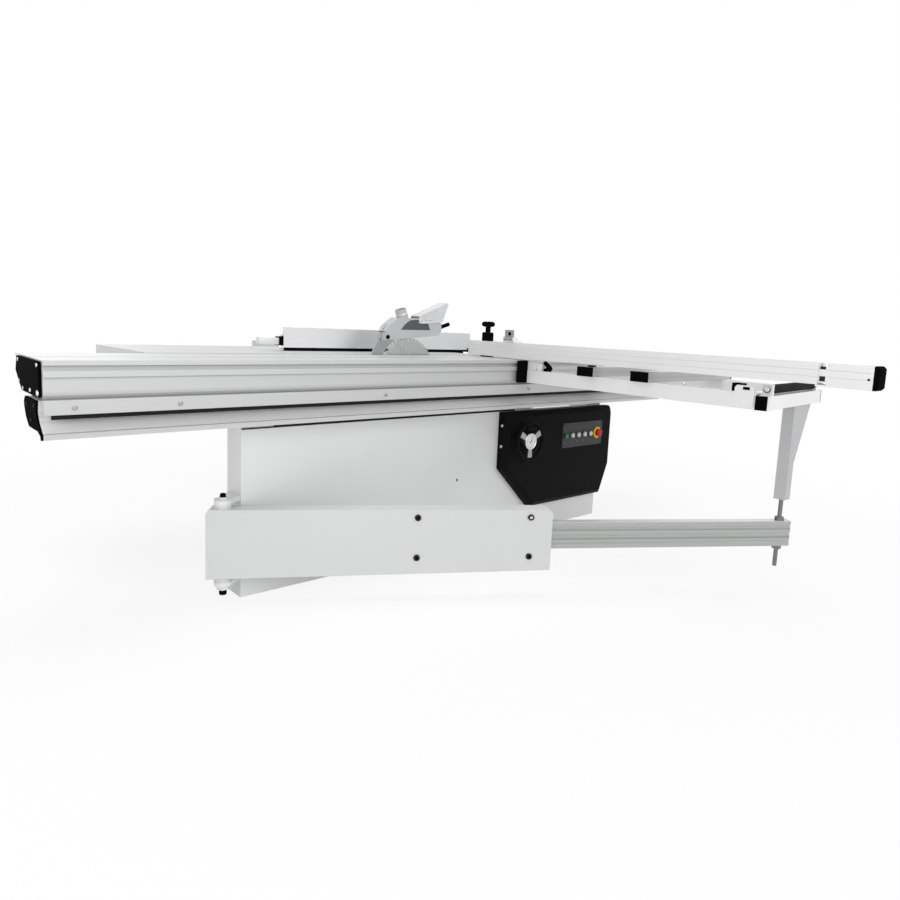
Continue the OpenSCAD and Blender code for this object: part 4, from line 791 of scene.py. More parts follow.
def plate(outline: Sequence[Flat], height: float, matrix: Matrix, bevel: float = 0.0) -> Shape:
    """Extrudes an outline along Z and breaks its edges.

    Args:
        outline: Points in the shape's own X and Y.
        height: Thickness.
        matrix: Place of the shape.
        bevel: Width of the broken edges.

    Returns:
        The plate.
    """
    mesh = bmesh.new()
    face = mesh.faces.new([mesh.verts.new((x, y, 0.0)) for x, y in outline])
    top = bmesh.ops.extrude_face_region(mesh, geom=[face])["geom"]
    raised = [vertex for vertex in top if isinstance(vertex, bmesh.types.BMVert)]
    bmesh.ops.translate(mesh, verts=raised, vec=(0.0, 0.0, height))
    bmesh.ops.recalc_face_normals(mesh, faces=mesh.faces)
    if bevel:
        bmesh.ops.bevel(mesh, geom=list(mesh.edges), offset=bevel, segments=2, profile=0.6, affect="EDGES")
    mesh.transform(matrix)
    return mesh


def slab(low: Flat, high: Flat, height: float, matrix: Matrix, bevel: float = 0.0) -> Shape:
    """Makes a plate of a rectangle between two corners; the other arguments are those of plate."""
    return plate([low, (high[0], low[1]), high, (low[0], high[1])], height, matrix, bevel)


def inside(point: Flat, outline: Sequence[Flat], margin: float) -> bool:
    """Tells whether a point lies inside a convex outline by at least a margin.

    Args:
        point: Point to test.
        outline: Corners, turning left.
        margin: Least distance from every edge.

    Returns:
        True if it does.
    """
    for a, b in zip(outline, [*outline[1:], outline[0]]):
        along = Vector((b[0] - a[0], b[1] - a[1])).normalized()
        off = Vector((point[0] - a[0], point[1] - a[1]))
        if along.x * off.y - along.y * off.x < margin:
            return False
    return True


def repeated(
    name: str, source: Item, points: Sequence[Point], facing: Facing, finish: Material
) -> Item:
    """Repeats a source shape on points.

    Args:
        name: Name of the piece.
        source: Shape to repeat; it is removed afterwards.
        points: Places.
        facing: Way the shape's Z axis looks.
        finish: Material.

    Returns:
        The finished piece.
    """
    growth = Growth(name + "_tree")
    info = growth.add("GeometryNodeObjectInfo")
    growth.feed(info.inputs["Object"], "Shape", source, "Object")
    spread = growth.spread(growth.inputs.outputs["Geometry"], info.outputs["Geometry"])
    growth.feed(spread.inputs["Rotation"], "Turn", facing.value, "Vector")
    piece = growth.grow(name, points_mesh(name, points), spread.outputs["Instances"], finish)
    bpy.data.objects.remove(source)
    return piece


def scale_marks(
    name: str, start: Point, step: Point, count: int, mark: Point, finish: Material
) -> Item:
    """Draws a row of scale marks, every tenth one twice as long.

    Args:
        name: Name of the piece.
        start: Middle of the first mark.
        step: Way from one mark to the next.
        count: Number of marks.
        mark: Size of a short mark.
        finish: Ink.

    Returns:
        The finished piece.
    """
    growth = Growth(name + "_tree")
    line = growth.add("GeometryNodeMeshLine", mode="OFFSET")
    growth.feed(line.inputs["Count"], "Count", count, "Int")
    growth.feed(line.inputs["Start Location"], "Start", start, "Vector")
    growth.feed(line.inputs["Offset"], "Step", step, "Vector")
    cube = growth.add("GeometryNodeMeshCube")
    growth.feed(cube.inputs["Size"], "Mark", mark, "Vector")
    factor = growth.add("GeometryNodeInputIndex").outputs["Index"]
    for operation, value in (("MODULO", 10.0), ("LESS_THAN", 0.5), ("ADD", 1.0)):
        node = growth.add("ShaderNodeMath", {1: value}, operation=operation)
        growth.join(factor, node.inputs[0])
        factor = node.outputs["Value"]
    wide = growth.add("ShaderNodeCombineXYZ", {0: 1.0, 1: 1.0, 2: 1.0})
    growth.join(factor, wide.inputs[max(range(3), key=lambda axis: mark[axis])])
    spread = growth.spread(line.outputs["Mesh"], cube.outputs["Mesh"])
    growth.join(wide.outputs["Vector"], spread.inputs["Scale"])
    return growth.grow(name, points_mesh(name, []), spread.outputs["Instances"], finish)


@dataclass
class Fasteners:
    """Socket-head screws, repeated on points by one tree."""

    radius: float = 6.0 * MM
    height: float = 4.0 * MM
    steps: int = 12

    def head(self) -> Item:
        """Models one head with a hexagon socket, looking along Z.

        Returns:
            The head, linked to the scene.
        """
        mesh = bmesh.new()
        r, h = self.radius, self.height
        socket = r * 0.52
        rings = [
            (r, 0.0, False), (r, h * 0.75, False), (r * 0.86, h, False),
            (socket, h, True), (socket * 0.96, h * 0.35, True),
        ]
        loops = []
        for radius, z, hexagon in rings:
            loop = []
            for k in range(self.steps):
                angle = 2 * math.pi * k / self.steps
                reach = radius * (math.cos(math.pi / 6) if hexagon and k % 2 else 1.0)
                loop.append(mesh.verts.new((reach * math.cos(angle), reach * math.sin(angle), z)))
            loops.append(loop)
        for low, high in zip(loops, loops[1:]):
            for k in range(self.steps):
                after = (k + 1) % self.steps
                mesh.faces.new([low[k], low[after], high[after], high[k]])
        mesh.faces.new(loops[-1])
        mesh.faces.new(list(reversed(loops[0])))
        return placed("screw_head", written("screw_head", mesh))

    def fix(
        self, name: str, points: Sequence[Point], facing: Facing, finish: Material, body: str
    ) -> None:
        """Puts a head on each point and keeps them as one piece.

        Args:
            name: Name of the piece.
            points: Places on the surface.
            facing: Way the heads look.
            finish: Material of the heads.
            body: Body that they move with.
        """
        keep(repeated(name, self.head(), points, facing, finish), body)


@dataclass
class Carriage:
    """Sliding carriage: flange screws, cap screws, rod ends and a dark strip under the flange that stands in
    for its shadow on the beam.
    """

    body: str = "sliding_carriage"
    flange_xs: tuple[float, ...] = (-1.451, -1.163, -0.402, 0.390, 1.10)
    flange_z: float = 0.721
    near_y: float = -0.388
    rear_x: float = -1.533
    front_x: float = 1.683
    cap_screws: tuple[Flat, ...] = (
        (-0.362, 0.836), (-0.362, 0.760), (-0.116, 0.836), (-0.126, 0.775), (-0.175, 0.757),
    )
    rod_ends: tuple[Flat, ...] = ((-0.363, 8.0), (-0.275, 6.0))  # Y, and the radius in millimetres
    rod_z: float = 0.761
    # Box and depth of the dark strip that stands in for the flange's shadow on the beam: painted shade.
    flange_shadow_strip: Box = ((-1.500, 0.684), (1.650, 0.7485))
    flange_shadow_strip_y: float = -0.344

    def dress(self, stock: Stock) -> None:
        """Adds the carriage's small pieces.

        Args:
            stock: Finishes of the machine.
        """
        flange = [(x, self.near_y, self.flange_z) for x in self.flange_xs]
        Fasteners(7.0 * MM, 4.5 * MM).fix("flange_screws", flange, Facing.NEAR, stock.bar, self.body)
        small = Fasteners(5.5 * MM, 2.5 * MM)
        for name, x, way in (("rear", self.rear_x, Facing.REAR), ("front", self.front_x, Facing.FRONT)):
            places = [(x, y, z) for y, z in self.cap_screws]
            small.fix(f"{name}_cap_screws", places, way, stock.zinc, self.body)
        ends = []
        for y, r in self.rod_ends:
            profile = [(0, 0), (r, 0), (r, 2), (r - 1.5, 3.5), (0, 3.5)]
            ends.append(turned(profile, frame_of(Facing.REAR, (self.rear_x, y, self.rod_z))))
        fit("guide_ends", merged(ends), stock.zinc, self.body)
        # Painted shade: a dark rubber strip under the flange stands in for the flange's shadow on the beam.
        flange_shadow_strip = slab(*self.flange_shadow_strip, 2.0 * MM, upright(self.flange_shadow_strip_y), 0.4 * MM)
        fit("carriage_wiper", flange_shadow_strip, stock.rubber, self.body)


@dataclass
class Beam:
    """Fixed beam and stand: guide rods and cap screws of the beam, and a dark strip on the stand's top edge
    that stands in for the shaded gap under the beam.
    """

    rear_x: float = -1.531
    cap_screws: tuple[Flat, ...] = ((-0.30, 0.72), (-0.205, 0.715), (-0.26, 0.675))
    top_z: float = 0.7358
    rod_x: float = -1.515
    rod_ys: tuple[float, ...] = (-0.314, -0.196)
    rod_mm: Point = (3.0, 1.0, 2980.0)  # radius, chamfer and length
    # Boxes and height of the dark strip standing in for the shaded gap under the beam: painted shade.
    trim: Box = ((-0.779, -0.2396), (0.468, -0.2324))
    gap_shade_rear: Box = ((-0.899, -0.2396), (-0.7785, -0.2381))
    gap_shade_z: float = 0.6012

    def dress(self, stock: Stock) -> None:
        """Adds rods, cap screws and the dark strip that stands in for the shaded gap between beam and stand.

        Args:
            stock: Finishes of the machine.
        """
        r, tip, length = self.rod_mm
        profile = [(0, 0), (r - tip, 0), (r, tip), (r, length - tip), (r - tip, length), (0, length)]
        rod_z = self.top_z + r * MM
        rods = [turned(profile, frame_of(Facing.FRONT, (self.rod_x, y, rod_z)), 16) for y in self.rod_ys]
        fit("guide_rods", merged(rods), stock.bar, "base")
        places = [(self.rear_x, y, z) for y, z in self.cap_screws]
        Fasteners(5.0 * MM, 2.5 * MM).fix("beam_cap_screws", places, Facing.REAR, stock.ink, "base")
        # Painted shade: a dark strip on the stand's top edge, where the gap under the beam lies in shade.
        trim = [
            slab(*self.trim, 14.0 * MM, level(self.gap_shade_z), 0.8 * MM),
            slab(*self.gap_shade_rear, 4.6 * MM, level(self.gap_shade_z), 0.3 * MM),
        ]
        fit("stand_trim", merged(trim), stock.rubber, "base")


@dataclass
class Controls:
    """Control housing: dial of the handwheel, yellow stop plate, screws and panel marks."""

    wheel: Flat = WHEEL
    dial_y: float = -0.3355
    dial_mm: float = 38.0
    dial_steps: int = 24
    needle_mm: tuple[Flat, ...] = ((-1.6, -9.0), (1.6, -9.0), (0.5, 24.0), (-0.5, 24.0))
    needle_turn: float = -0.5
    stop: Flat = (1.050, 0.465)
    side_screws: tuple[Point, ...] = ((0.366, -0.262, 0.538), (0.366, -0.262, 0.441))
    panel_xs: Flat = (0.776, 1.082)
    panel_zs: Flat = (0.411, 0.520)
    panel_y: float = -0.296
    button_xs: tuple[float, ...] = (0.790, 0.839, 0.888, 0.937, 0.986)
    button_z: float = 0.465
    sign_rise: float = 0.034
    ink: float = 0.3 * MM

    def dial(self, stock: Stock) -> None:
        """Builds the dial's ring, face, marks and needle.

        Args:
            stock: Finishes of the machine.
        """
        x, z = self.wheel
        r = self.dial_mm
        place = frame_of(Facing.NEAR, (x, self.dial_y, z))
        ring = [(r - 5, 0), (r, 0), (r, 2.2), (r - 1.5, 3), (r - 5, 1.5), (r - 5, 0)]
        fit("dial_ring", turned(ring, place, 48), stock.zinc, "wheel")
        face = [(0, 0), (r - 5.2, 0), (r - 5.2, 0.8), (0, 0.9)]
        fit("dial_face", turned(face, place, 48), stock.dial, "wheel")
        marks = []
        for k in range(self.dial_steps):
            outer = r - 7
            inner = outer - (7 if k % 6 == 0 else 4)
            turn = Matrix.Rotation(2 * math.pi * k / self.dial_steps, 4, "Z")
            over = place @ Matrix.Translation((0.0, 0.0, 0.85 * MM)) @ turn
            marks.append(slab((inner * MM, -0.5 * MM), (outer * MM, 0.5 * MM), self.ink, over))
        over = place @ Matrix.Translation((0.0, 0.0, 1.2 * MM)) @ Matrix.Rotation(self.needle_turn, 4, "Z")
        marks.append(plate([(u * MM, v * MM) for u, v in self.needle_mm], 0.8 * MM, over))
        marks.append(turned([(0, 0.9), (3, 0.9), (2.4, 2.4), (0, 2.6)], place, 16))
        fit("dial_marks", merged(marks), stock.ink, "wheel")

    def dress(self, stock: Stock) -> None:
        """Adds the housing's pieces.

        Args:
            stock: Finishes of the machine.
        """
        self.dial(stock)
        x, z = self.stop
        ring = [(15.4, 0), (30, 0), (30, 1.4), (29, 2), (15.4, 2), (15.4, 0)]
        stop = turned(ring, frame_of(Facing.NEAR, (x, self.panel_y, z)), 48)
        fit("stop_plate", stop, stock.yellow, "base")
        side = Fasteners(7 * MM, 3.5 * MM)
        side.fix("housing_side_screws", self.side_screws, Facing.REAR, stock.zinc, "base")
        corners = [(px, self.panel_y, pz) for px in self.panel_xs for pz in self.panel_zs]
        small = Fasteners(3.2 * MM, 1.8 * MM)
        small.fix("panel_screws", corners, Facing.NEAR, stock.ink, "base")
        ring = [(3.4, 0), (4.4, 0), (4.4, 0.3), (3.4, 0.3), (3.4, 0)]
        signs = []
        for k, bx in enumerate(self.button_xs):
            under = frame_of(Facing.NEAR, (bx, self.panel_y, self.button_z - self.sign_rise))
            over = frame_of(Facing.NEAR, (bx, self.panel_y, self.button_z + self.sign_rise))
            signs.append(turned(ring, under, 20))
            turn = Matrix.Rotation(0.0 if k % 2 else math.pi / 2, 4, "Z")
            signs.append(slab((-0.5 * MM, -4 * MM), (0.5 * MM, 4 * MM), self.ink, over @ turn))
        fit("panel_signs", merged(signs), stock.sign, "base")


@dataclass
class Blade:
    """Main blade's carbide tips, set round its edge."""

    centre: Point = (BLADE[0], 0.0, BLADE[1])
    radius: float = 0.1487
    teeth: int = 48
    tip: Point = (5.0 * MM, 2.6 * MM, 3.4 * MM)

    def dress(self, stock: Stock) -> None:
        """Sets one tip on each tooth.

        Args:
            stock: Finishes of the machine.
        """
        growth = Growth("blade_tips_tree")
        ring = growth.add("GeometryNodeMeshCircle")
        growth.feed(ring.inputs["Vertices"], "Teeth", self.teeth, "Int")
        growth.feed(ring.inputs["Radius"], "Radius", self.radius - self.tip[0] / 2)
        cube = growth.add("GeometryNodeMeshCube")
        growth.feed(cube.inputs["Size"], "Tip", self.tip, "Vector")
        place = growth.add("GeometryNodeInputPosition")
        align = growth.add("FunctionNodeAlignRotationToVector", axis="X")
        growth.join(place.outputs["Position"], align.inputs["Vector"])
        spread = growth.spread(ring.outputs["Mesh"], cube.outputs["Mesh"])
        growth.join(align.outputs["Rotation"], spread.inputs["Rotation"])
        stand = growth.add("GeometryNodeTransform")
        growth.feed(stand.inputs["Translation"], "Centre", self.centre, "Vector")
        growth.feed(stand.inputs["Rotation"], "Turn", Facing.NEAR.value, "Vector")
        growth.join(spread.outputs["Instances"], stand.inputs["Geometry"])
        host = points_mesh("blade_tips", [])
        piece = growth.grow("blade_tips", host, stand.outputs["Geometry"], stock.carbide)
        keep(piece, "spindle")


@dataclass
class Guard:
    """Guard of the blade: perforated visor, smoked windows and fittings.

    Outlines, the pin and the places of the holes are in millimetres over the table.
    """

    visor: tuple[Flat, ...] = ((36, 142), (58, 140), (174, 150), (207, 232), (200, 240), (36, 174))
    roof: tuple[Flat, ...] = ((207, 232), (200, 240), (36, 174), (37.5, 170.5))
    window: tuple[Flat, ...] = (
        (-64, 110), (104, 112), (90, 145), (64, 154), (26, 157), (-12, 153), (-40, 135),
    )
    table: float = 0.850
    cheek_y: float = 28.4 * MM
    thickness: float = 3.0 * MM
    edge: float = 0.4 * MM
    window_y: float = 28.0 * MM
    pane: float = 0.3 * MM
    hole_r: float = 2.6 * MM
    pitch: float = 10.0
    row_pitch: float = 8.66
    margin: float = 6.5
    first_hole: Flat = (40.0, 146.0)
    last_hole: Flat = (210.0, 240.0)
    pin: Flat = (48, 150)
    pin_reach: float = 14.0
    bolt: Flat = (-0.135, 0.927)
    bolt_y: float = 32.4 * MM
    spout: Point = (-0.036, 0.0, 1.012)
    spout_lean: float = 19.0

    def outline(self, points: Sequence[Flat]) -> list[Flat]:
        """Gives points over the table in metres of the frame."""
        return [(x * MM, self.table + z * MM) for x, z in points]

    def hole_places(self) -> list[Flat]:
        """Gives the holes' places, a margin away from the outline and the pin.

        Returns:
            Places in X and Z.
        """
        places = []
        row = 0
        z = self.first_hole[1]
        while z < self.last_hole[1]:
            x = self.first_hole[0] + (self.pitch / 2 if row % 2 else 0.0)
            while x < self.last_hole[0]:
                clear_of_pin = math.hypot(x - self.pin[0], z - self.pin[1]) > self.pin_reach
                if clear_of_pin and inside((x, z), self.visor, self.margin):
                    places.append((x, z))
                x += self.pitch
            z += self.row_pitch
            row += 1
        return self.outline(places)

    def cheeks(self, stock: Stock) -> None:
        """Builds the visor with real holes by a boolean in its tree.

        Args:
            stock: Finishes of the machine.
        """
        inner = self.cheek_y
        outline = self.outline(self.visor)
        near_faces = (-inner, inner + self.thickness)
        sides = [plate(outline, self.thickness, upright(y), self.edge) for y in near_faces]
        growth = Growth("visor_tree")
        drill = growth.add("GeometryNodeMeshCylinder", {"Vertices": 12}, fill_type="NGON")
        growth.feed(drill.inputs["Radius"], "Hole", self.hole_r)
        growth.feed(drill.inputs["Depth"], "Depth", 4 * inner)
        drilled = [(x, 0.0, z) for x, z in self.hole_places()]
        points = placed("visor_holes", points_mesh("visor_holes", drilled))
        info = growth.add("GeometryNodeObjectInfo")
        growth.feed(info.inputs["Object"], "Holes", points, "Object")
        spread = growth.spread(info.outputs["Geometry"], drill.outputs["Mesh"])
        growth.feed(spread.inputs["Rotation"], "Turn", Facing.NEAR.value, "Vector")
        solid = growth.add("GeometryNodeRealizeInstances")
        growth.join(spread.outputs["Instances"], solid.inputs["Geometry"])
        cut = growth.add("GeometryNodeMeshBoolean", operation="DIFFERENCE")
        growth.join(growth.inputs.outputs["Geometry"], cut.inputs["Mesh 1"])
        growth.join(solid.outputs["Geometry"], cut.inputs["Mesh 2"])
        host = written("visor_cheeks", merged(sides))
        piece = growth.grow("visor_cheeks", host, cut.outputs["Mesh"], stock.visor)
        bpy.data.objects.remove(points)
        keep(piece, "visor")
        play = 0.1 * MM
        bridge = plate(self.outline(self.roof), 2 * (inner - play), upright(inner - play), self.edge)
        fit("visor_roof", bridge, stock.visor, "visor")
        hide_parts("guard_visor")

    def dress(self, stock: Stock) -> None:
        """Adds the guard's pieces.

        Args:
            stock: Finishes of the machine.
        """
        self.cheeks(stock)
        outline = self.outline(self.window)
        panes = [plate(outline, self.pane, upright(y)) for y in (-self.window_y, self.window_y + self.pane)]
        fit("hood_windows", merged(panes), stock.smoked, "guard")
        lean = Matrix.Rotation(-math.radians(self.spout_lean), 4, "Y")
        place = frame_of(Facing.UP, self.spout) @ lean @ Matrix.Translation((0.0, 0.0, 12 * MM))
        band = turned([(25.2, 0), (27, 0), (27, 9), (25.2, 9), (25.2, 0)], place, 40)
        fit("spout_band", band, stock.zinc, "guard")
        x, z = self.bolt
        for name, y, way in (("near", -self.bolt_y, Facing.NEAR), ("far", self.bolt_y, Facing.FAR)):
            knob = turned([(0, 0), (9, 0), (9, 1), (7, 1.4), (0, 1.4)], frame_of(way, (x, y, z)), 20)
            fit(f"hood_bolt_{name}", knob, stock.black, "lift")


@dataclass
class CrosscutFence:
    """Crosscut fence: scale and end plate."""

    body: str = "mitre_fence"
    face_x: float = 0.342
    top_z: float = 0.923
    tape_xs: Flat = (0.345, 0.354)
    tape_ys: Flat = (-1.600, -0.185)
    mark_count: int = 141
    mark: Point = (4.0 * MM, 0.5 * MM, 0.2 * MM)
    end_y: float = -0.034
    end: Box = ((2.0 * MM, 2.0 * MM), (52.0 * MM, 65.0 * MM))
    end_screws: tuple[Point, ...] = ((0.354, -0.032, 0.868), (0.384, -0.032, 0.905))

    def dress(self, stock: Stock) -> None:
        """Adds the fence's pieces.

        Args:
            stock: Finishes of the machine.
        """
        (rear, front), (low, high) = self.tape_xs, self.tape_ys
        tape = slab((rear, low), (front, high), TAPE, level(self.top_z))
        fit("fence_tape", tape, stock.dial, self.body)
        start = (rear + 3 * MM, high - 5 * MM, self.top_z + MARK_RISE)
        step = (0.0, -MARK_STEP, 0.0)
        marks = scale_marks("fence_marks", start, step, self.mark_count, self.mark, stock.ink)
        keep(marks, self.body)
        end = slab(*self.end, 2 * MM, frame_of(Facing.FAR, (self.face_x, self.end_y, self.top_z)), 0.6 * MM)
        fit("fence_end_plate", end, stock.black, self.body)
        screws = Fasteners(4 * MM, 1.6 * MM)
        screws.fix("fence_end_screws", self.end_screws, Facing.FAR, stock.zinc, self.body)


@dataclass
class RipFence:
    """Rip fence: scale, face, strip, end plates and screws."""

    face_y: float = 0.225
    top_z: float = 0.950
    tape: Box = ((-0.40, 0.228), (0.44, 0.238))
    mark_start: Flat = (-0.395, 0.2315)
    mark_count: int = 84
    mark: Point = (0.5 * MM, 4.0 * MM, 0.2 * MM)
    face: Box = ((-0.4945, 0.8572), (0.5925, 0.9488))
    strip_y: float = 0.2246
    strip: Box = ((-0.4945, 0.8535), (0.5925, 0.8640))
    foot: Box = ((0.575, 0.8515), (0.594, 0.8725))
    rear_x: float = -0.495
    rear_plates: tuple[Box, ...] = (((0.857, 0.227), (0.8725, 0.263)), ((0.9105, 0.227), (0.948, 0.263)))
    bar: Box = ((0.230, 0.876), (0.260, 0.905))
    bar_x: float = -0.605
    bar_length: float = 0.092
    screw_xs: tuple[float, ...] = (-0.45, -0.15, 0.15, 0.45)
    screw: Flat = (0.265, 0.932)

    def dress(self, stock: Stock) -> None:
        """Adds the fence's pieces.

        Args:
            stock: Finishes of the machine.
        """
        fit("rip_tape", slab(*self.tape, TAPE, level(self.top_z)), stock.dial, "rip")
        start = (*self.mark_start, self.top_z + MARK_RISE)
        step = (MARK_STEP, 0.0, 0.0)
        marks = scale_marks("rip_marks", start, step, self.mark_count, self.mark, stock.ink)
        keep(marks, "rip")
        fit("rip_face", slab(*self.face, 0.3 * MM, upright(self.face_y)), stock.rail, "rip")
        before = upright(self.strip_y)
        strip = [slab(*self.strip, 0.5 * MM, before), slab(*self.foot, 4 * MM, before, 0.8 * MM)]
        fit("rip_strip", merged(strip), stock.black, "rip")
        plates = [slab(*box, 1.2 * MM, endways(self.rear_x), 0.3 * MM) for box in self.rear_plates]
        fit("rip_end_plates", merged(plates), stock.zinc, "rip")
        place = Matrix.Translation((self.bar_x, 0.0, 0.0)) @ LENGTHWISE
        bar = slab(*self.bar, self.bar_length, place, 1 * MM)
        fit("rip_rear_bar", bar, stock.rail, "rip")
        screws = [(x, *self.screw) for x in self.screw_xs]
        Fasteners(4 * MM, 2 * MM).fix("rip_screws", screws, Facing.FAR, stock.zinc, "rip")


@dataclass
class FrameFittings:
    """Small fittings of the crosscut frame and of the fence's moving pieces."""

    body: str = "sliding_carriage"
    top_z: float = 0.808
    ball: Flat = (0.366, -1.157)
    ball_mm: float = 8.0
    ball_angles: tuple[float, ...] = (0.5, 0.9, 1.3, 1.7, 2.1, 2.6)
    block: Box = ((0.362, -0.482), (0.396, -0.454))
    dark_block: Box = ((0.363, -1.374), (0.394, -1.336))
    tab: Box = ((0.816, -1.404), (0.826, -1.381))
    tab_x: float = 0.353
    pad: Box = ((0.366, -0.742), (0.398, -0.722))
    pad_z: float = 0.846
    roller_cap: Point = (0.3955, -1.4427, 0.8217)
    core_x: float = 0.3474
    core_marks: tuple[Box, ...] = (((0.866, -1.637), (0.882, -1.620)), ((0.903, -1.637), (0.912, -1.620)))
    extension_screw: Point = (0.342, -1.759, 0.882)
    stop: Point = (0.333, -0.308, 0.962)
    lever: Point = (0.379, -0.502, 0.8084)
    lever_rise: float = 24.0 * MM
    lever_slant: float = 125.0
    grip: Point = (0.369, -0.134, 1.001)

    def dress(self, stock: Stock) -> None:
        """Adds the fittings and the handles."""
        self.fittings(stock)
        self.handles(stock)

    def fittings(self, stock: Stock) -> None:
        """Adds ball, blocks, caps, marks and the stop's knob.

        Args:
            stock: Finishes of the machine.
        """
        r = self.ball_mm
        arc = [(r * math.sin(a), r + 1 - r * math.cos(a)) for a in self.ball_angles]
        ball = [(0, 0), (4, 0), (4, 2), *arc, (0, 2 * r + 1)]
        place = frame_of(Facing.UP, (*self.ball, self.top_z))
        fit("frame_ball", turned(ball, place), stock.zinc, self.body)
        block = slab(*self.block, 32 * MM, level(self.top_z), 1 * MM)
        fit("frame_block", block, stock.frame, self.body)
        dark = [
            slab(*self.dark_block, 28 * MM, level(self.top_z), 2 * MM),
            slab(*self.tab, 0.8 * MM, endways(self.tab_x), 0.2 * MM),
            slab(*self.pad, 5 * MM, level(self.pad_z), 1 * MM),
        ]
        fit("frame_dark_fittings", merged(dark), stock.black, self.body)
        cap = [(0, 0), (9, 0), (9, 3), (7.5, 4.5), (3, 4.5), (3, 3), (0, 3)]
        fit("roller_cap", turned(cap, frame_of(Facing.REAR, self.roller_cap)), stock.zinc, self.body)
        marks = [slab(*box, 0.15 * MM, endways(self.core_x)) for box in self.core_marks]
        fit("extension_marks", merged(marks), stock.ink, "telescope")
        screw = Fasteners(3.6 * MM, 1.6 * MM)
        places = [self.extension_screw]
        screw.fix("extension_screw", places, Facing.REAR, stock.ink, "telescope")
        disc = [(0, 0), (8, 0), (8, 1.4), (7.2, 2.2), (2.6, 2.2), (2.6, 1.2), (0, 1.2)]
        stop = turned(disc, frame_of(Facing.REAR, self.stop), 28)
        fit("stop_knob", stop, stock.black, "stop_finger")

    def handles(self, stock: Stock) -> None:
        """Builds the slanted frame knob and the fence handle's grip.

        Args:
            stock: Finishes of the machine.
        """
        place = Matrix.Translation(self.lever)
        slant = Matrix.Rotation(math.radians(self.lever_slant), 4, "X")
        over = place @ Matrix.Translation((0.0, 0.0, self.lever_rise)) @ slant
        foot = [(0, 0), (17, 0), (17, 9), (14, 12), (8, 13), (7, 22), (0, 22)]
        bar = [(0, -25), (6, -25), (9, -21), (9.6, 0), (9, 21), (6, 25), (0, 25)]
        lever = merged([turned(foot, place, 32), turned(bar, over)])
        piece = fit("frame_lever", lever, stock.black, "frame_knob")
        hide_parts("table_knob")
        grip = [(0, -37), (7, -37), (10.5, -33), (12.5, -24), (12.5, 24), (10.5, 33), (7, 37), (0, 37)]
        sleeve = turned(grip, frame_of(Facing.NEAR, self.grip), 28)
        fit("handle_grip", sleeve, stock.black, "clamp_handle")


@dataclass
class Arm:
    """Swing arm: rims round its bolts, one washer and the bolts of its pivot."""

    pivot: Flat = (-0.968, -0.244)
    angle: float = ARM_ANGLE
    half: float = 32.0 * MM
    head: float = 5.0 * MM
    top_z: float = 0.3764
    thread_z: float = 0.0286
    thread_mm: float = 22.0
    bolt_s: tuple[float, ...] = (0.668, 1.082)
    bolt_z: tuple[float, ...] = (0.1626, 0.3094)

    def along(self, s: float, off: float, z: float) -> Point:
        """Gives a point of the arm.

        Args:
            s: Distance from the pivot.
            off: Distance from the arm's middle plane.
            z: Height.

        Returns:
            The point in the frame.
        """
        a = math.radians(self.angle)
        x = self.pivot[0] + s * math.cos(a) + off * math.sin(a)
        y = self.pivot[1] - s * math.sin(a) + off * math.cos(a)
        return (x, y, z)

    def dress(self, stock: Stock) -> None:
        """Adds the arm's pieces.

        Args:
            stock: Finishes of the machine.
        """
        rims, washers = [], []
        turn = Matrix.Rotation(-math.radians(self.angle), 4, "Z")
        shown = (self.bolt_s[-1], self.bolt_z[-1], -1.0)
        for bolt in product(self.bolt_s, self.bolt_z, (-1.0, 1.0)):
            s, z, side = bolt
            place = Matrix.Translation(self.along(s, side * (self.half + self.head), z))
            face = place @ turn @ Matrix.Rotation(side * -math.pi / 2, 4, "X")
            rims.append(turned([(5.5, 0), (10, 0), (9.4, 1), (6.1, 1), (5.5, 0)], face))
            if bolt == shown:
                washers.append(turned([(0, 0), (5.4, 0), (5, 0.8), (0, 0.8)], face))
        fit("arm_bolt_rims", merged(rims), stock.ink, "outer_arm")
        fit("arm_bolt_washer", merged(washers), stock.zinc, "outer_arm")
        head = [(0, 0), (10, 0), (10, 9), (8, 12), (3.5, 12), (3.5, 8), (0, 8)]
        foot = [(12.1, self.thread_mm), (13, self.thread_mm), (13, 4), (10, -1), (0, -1)]
        bolts = [
            turned(head, frame_of(Facing.UP, (*self.pivot, self.top_z))),
            turned(foot, frame_of(Facing.UP, (*self.pivot, self.thread_z)), 28),
        ]
        fit("pivot_bolts", merged(bolts), stock.black, "base")


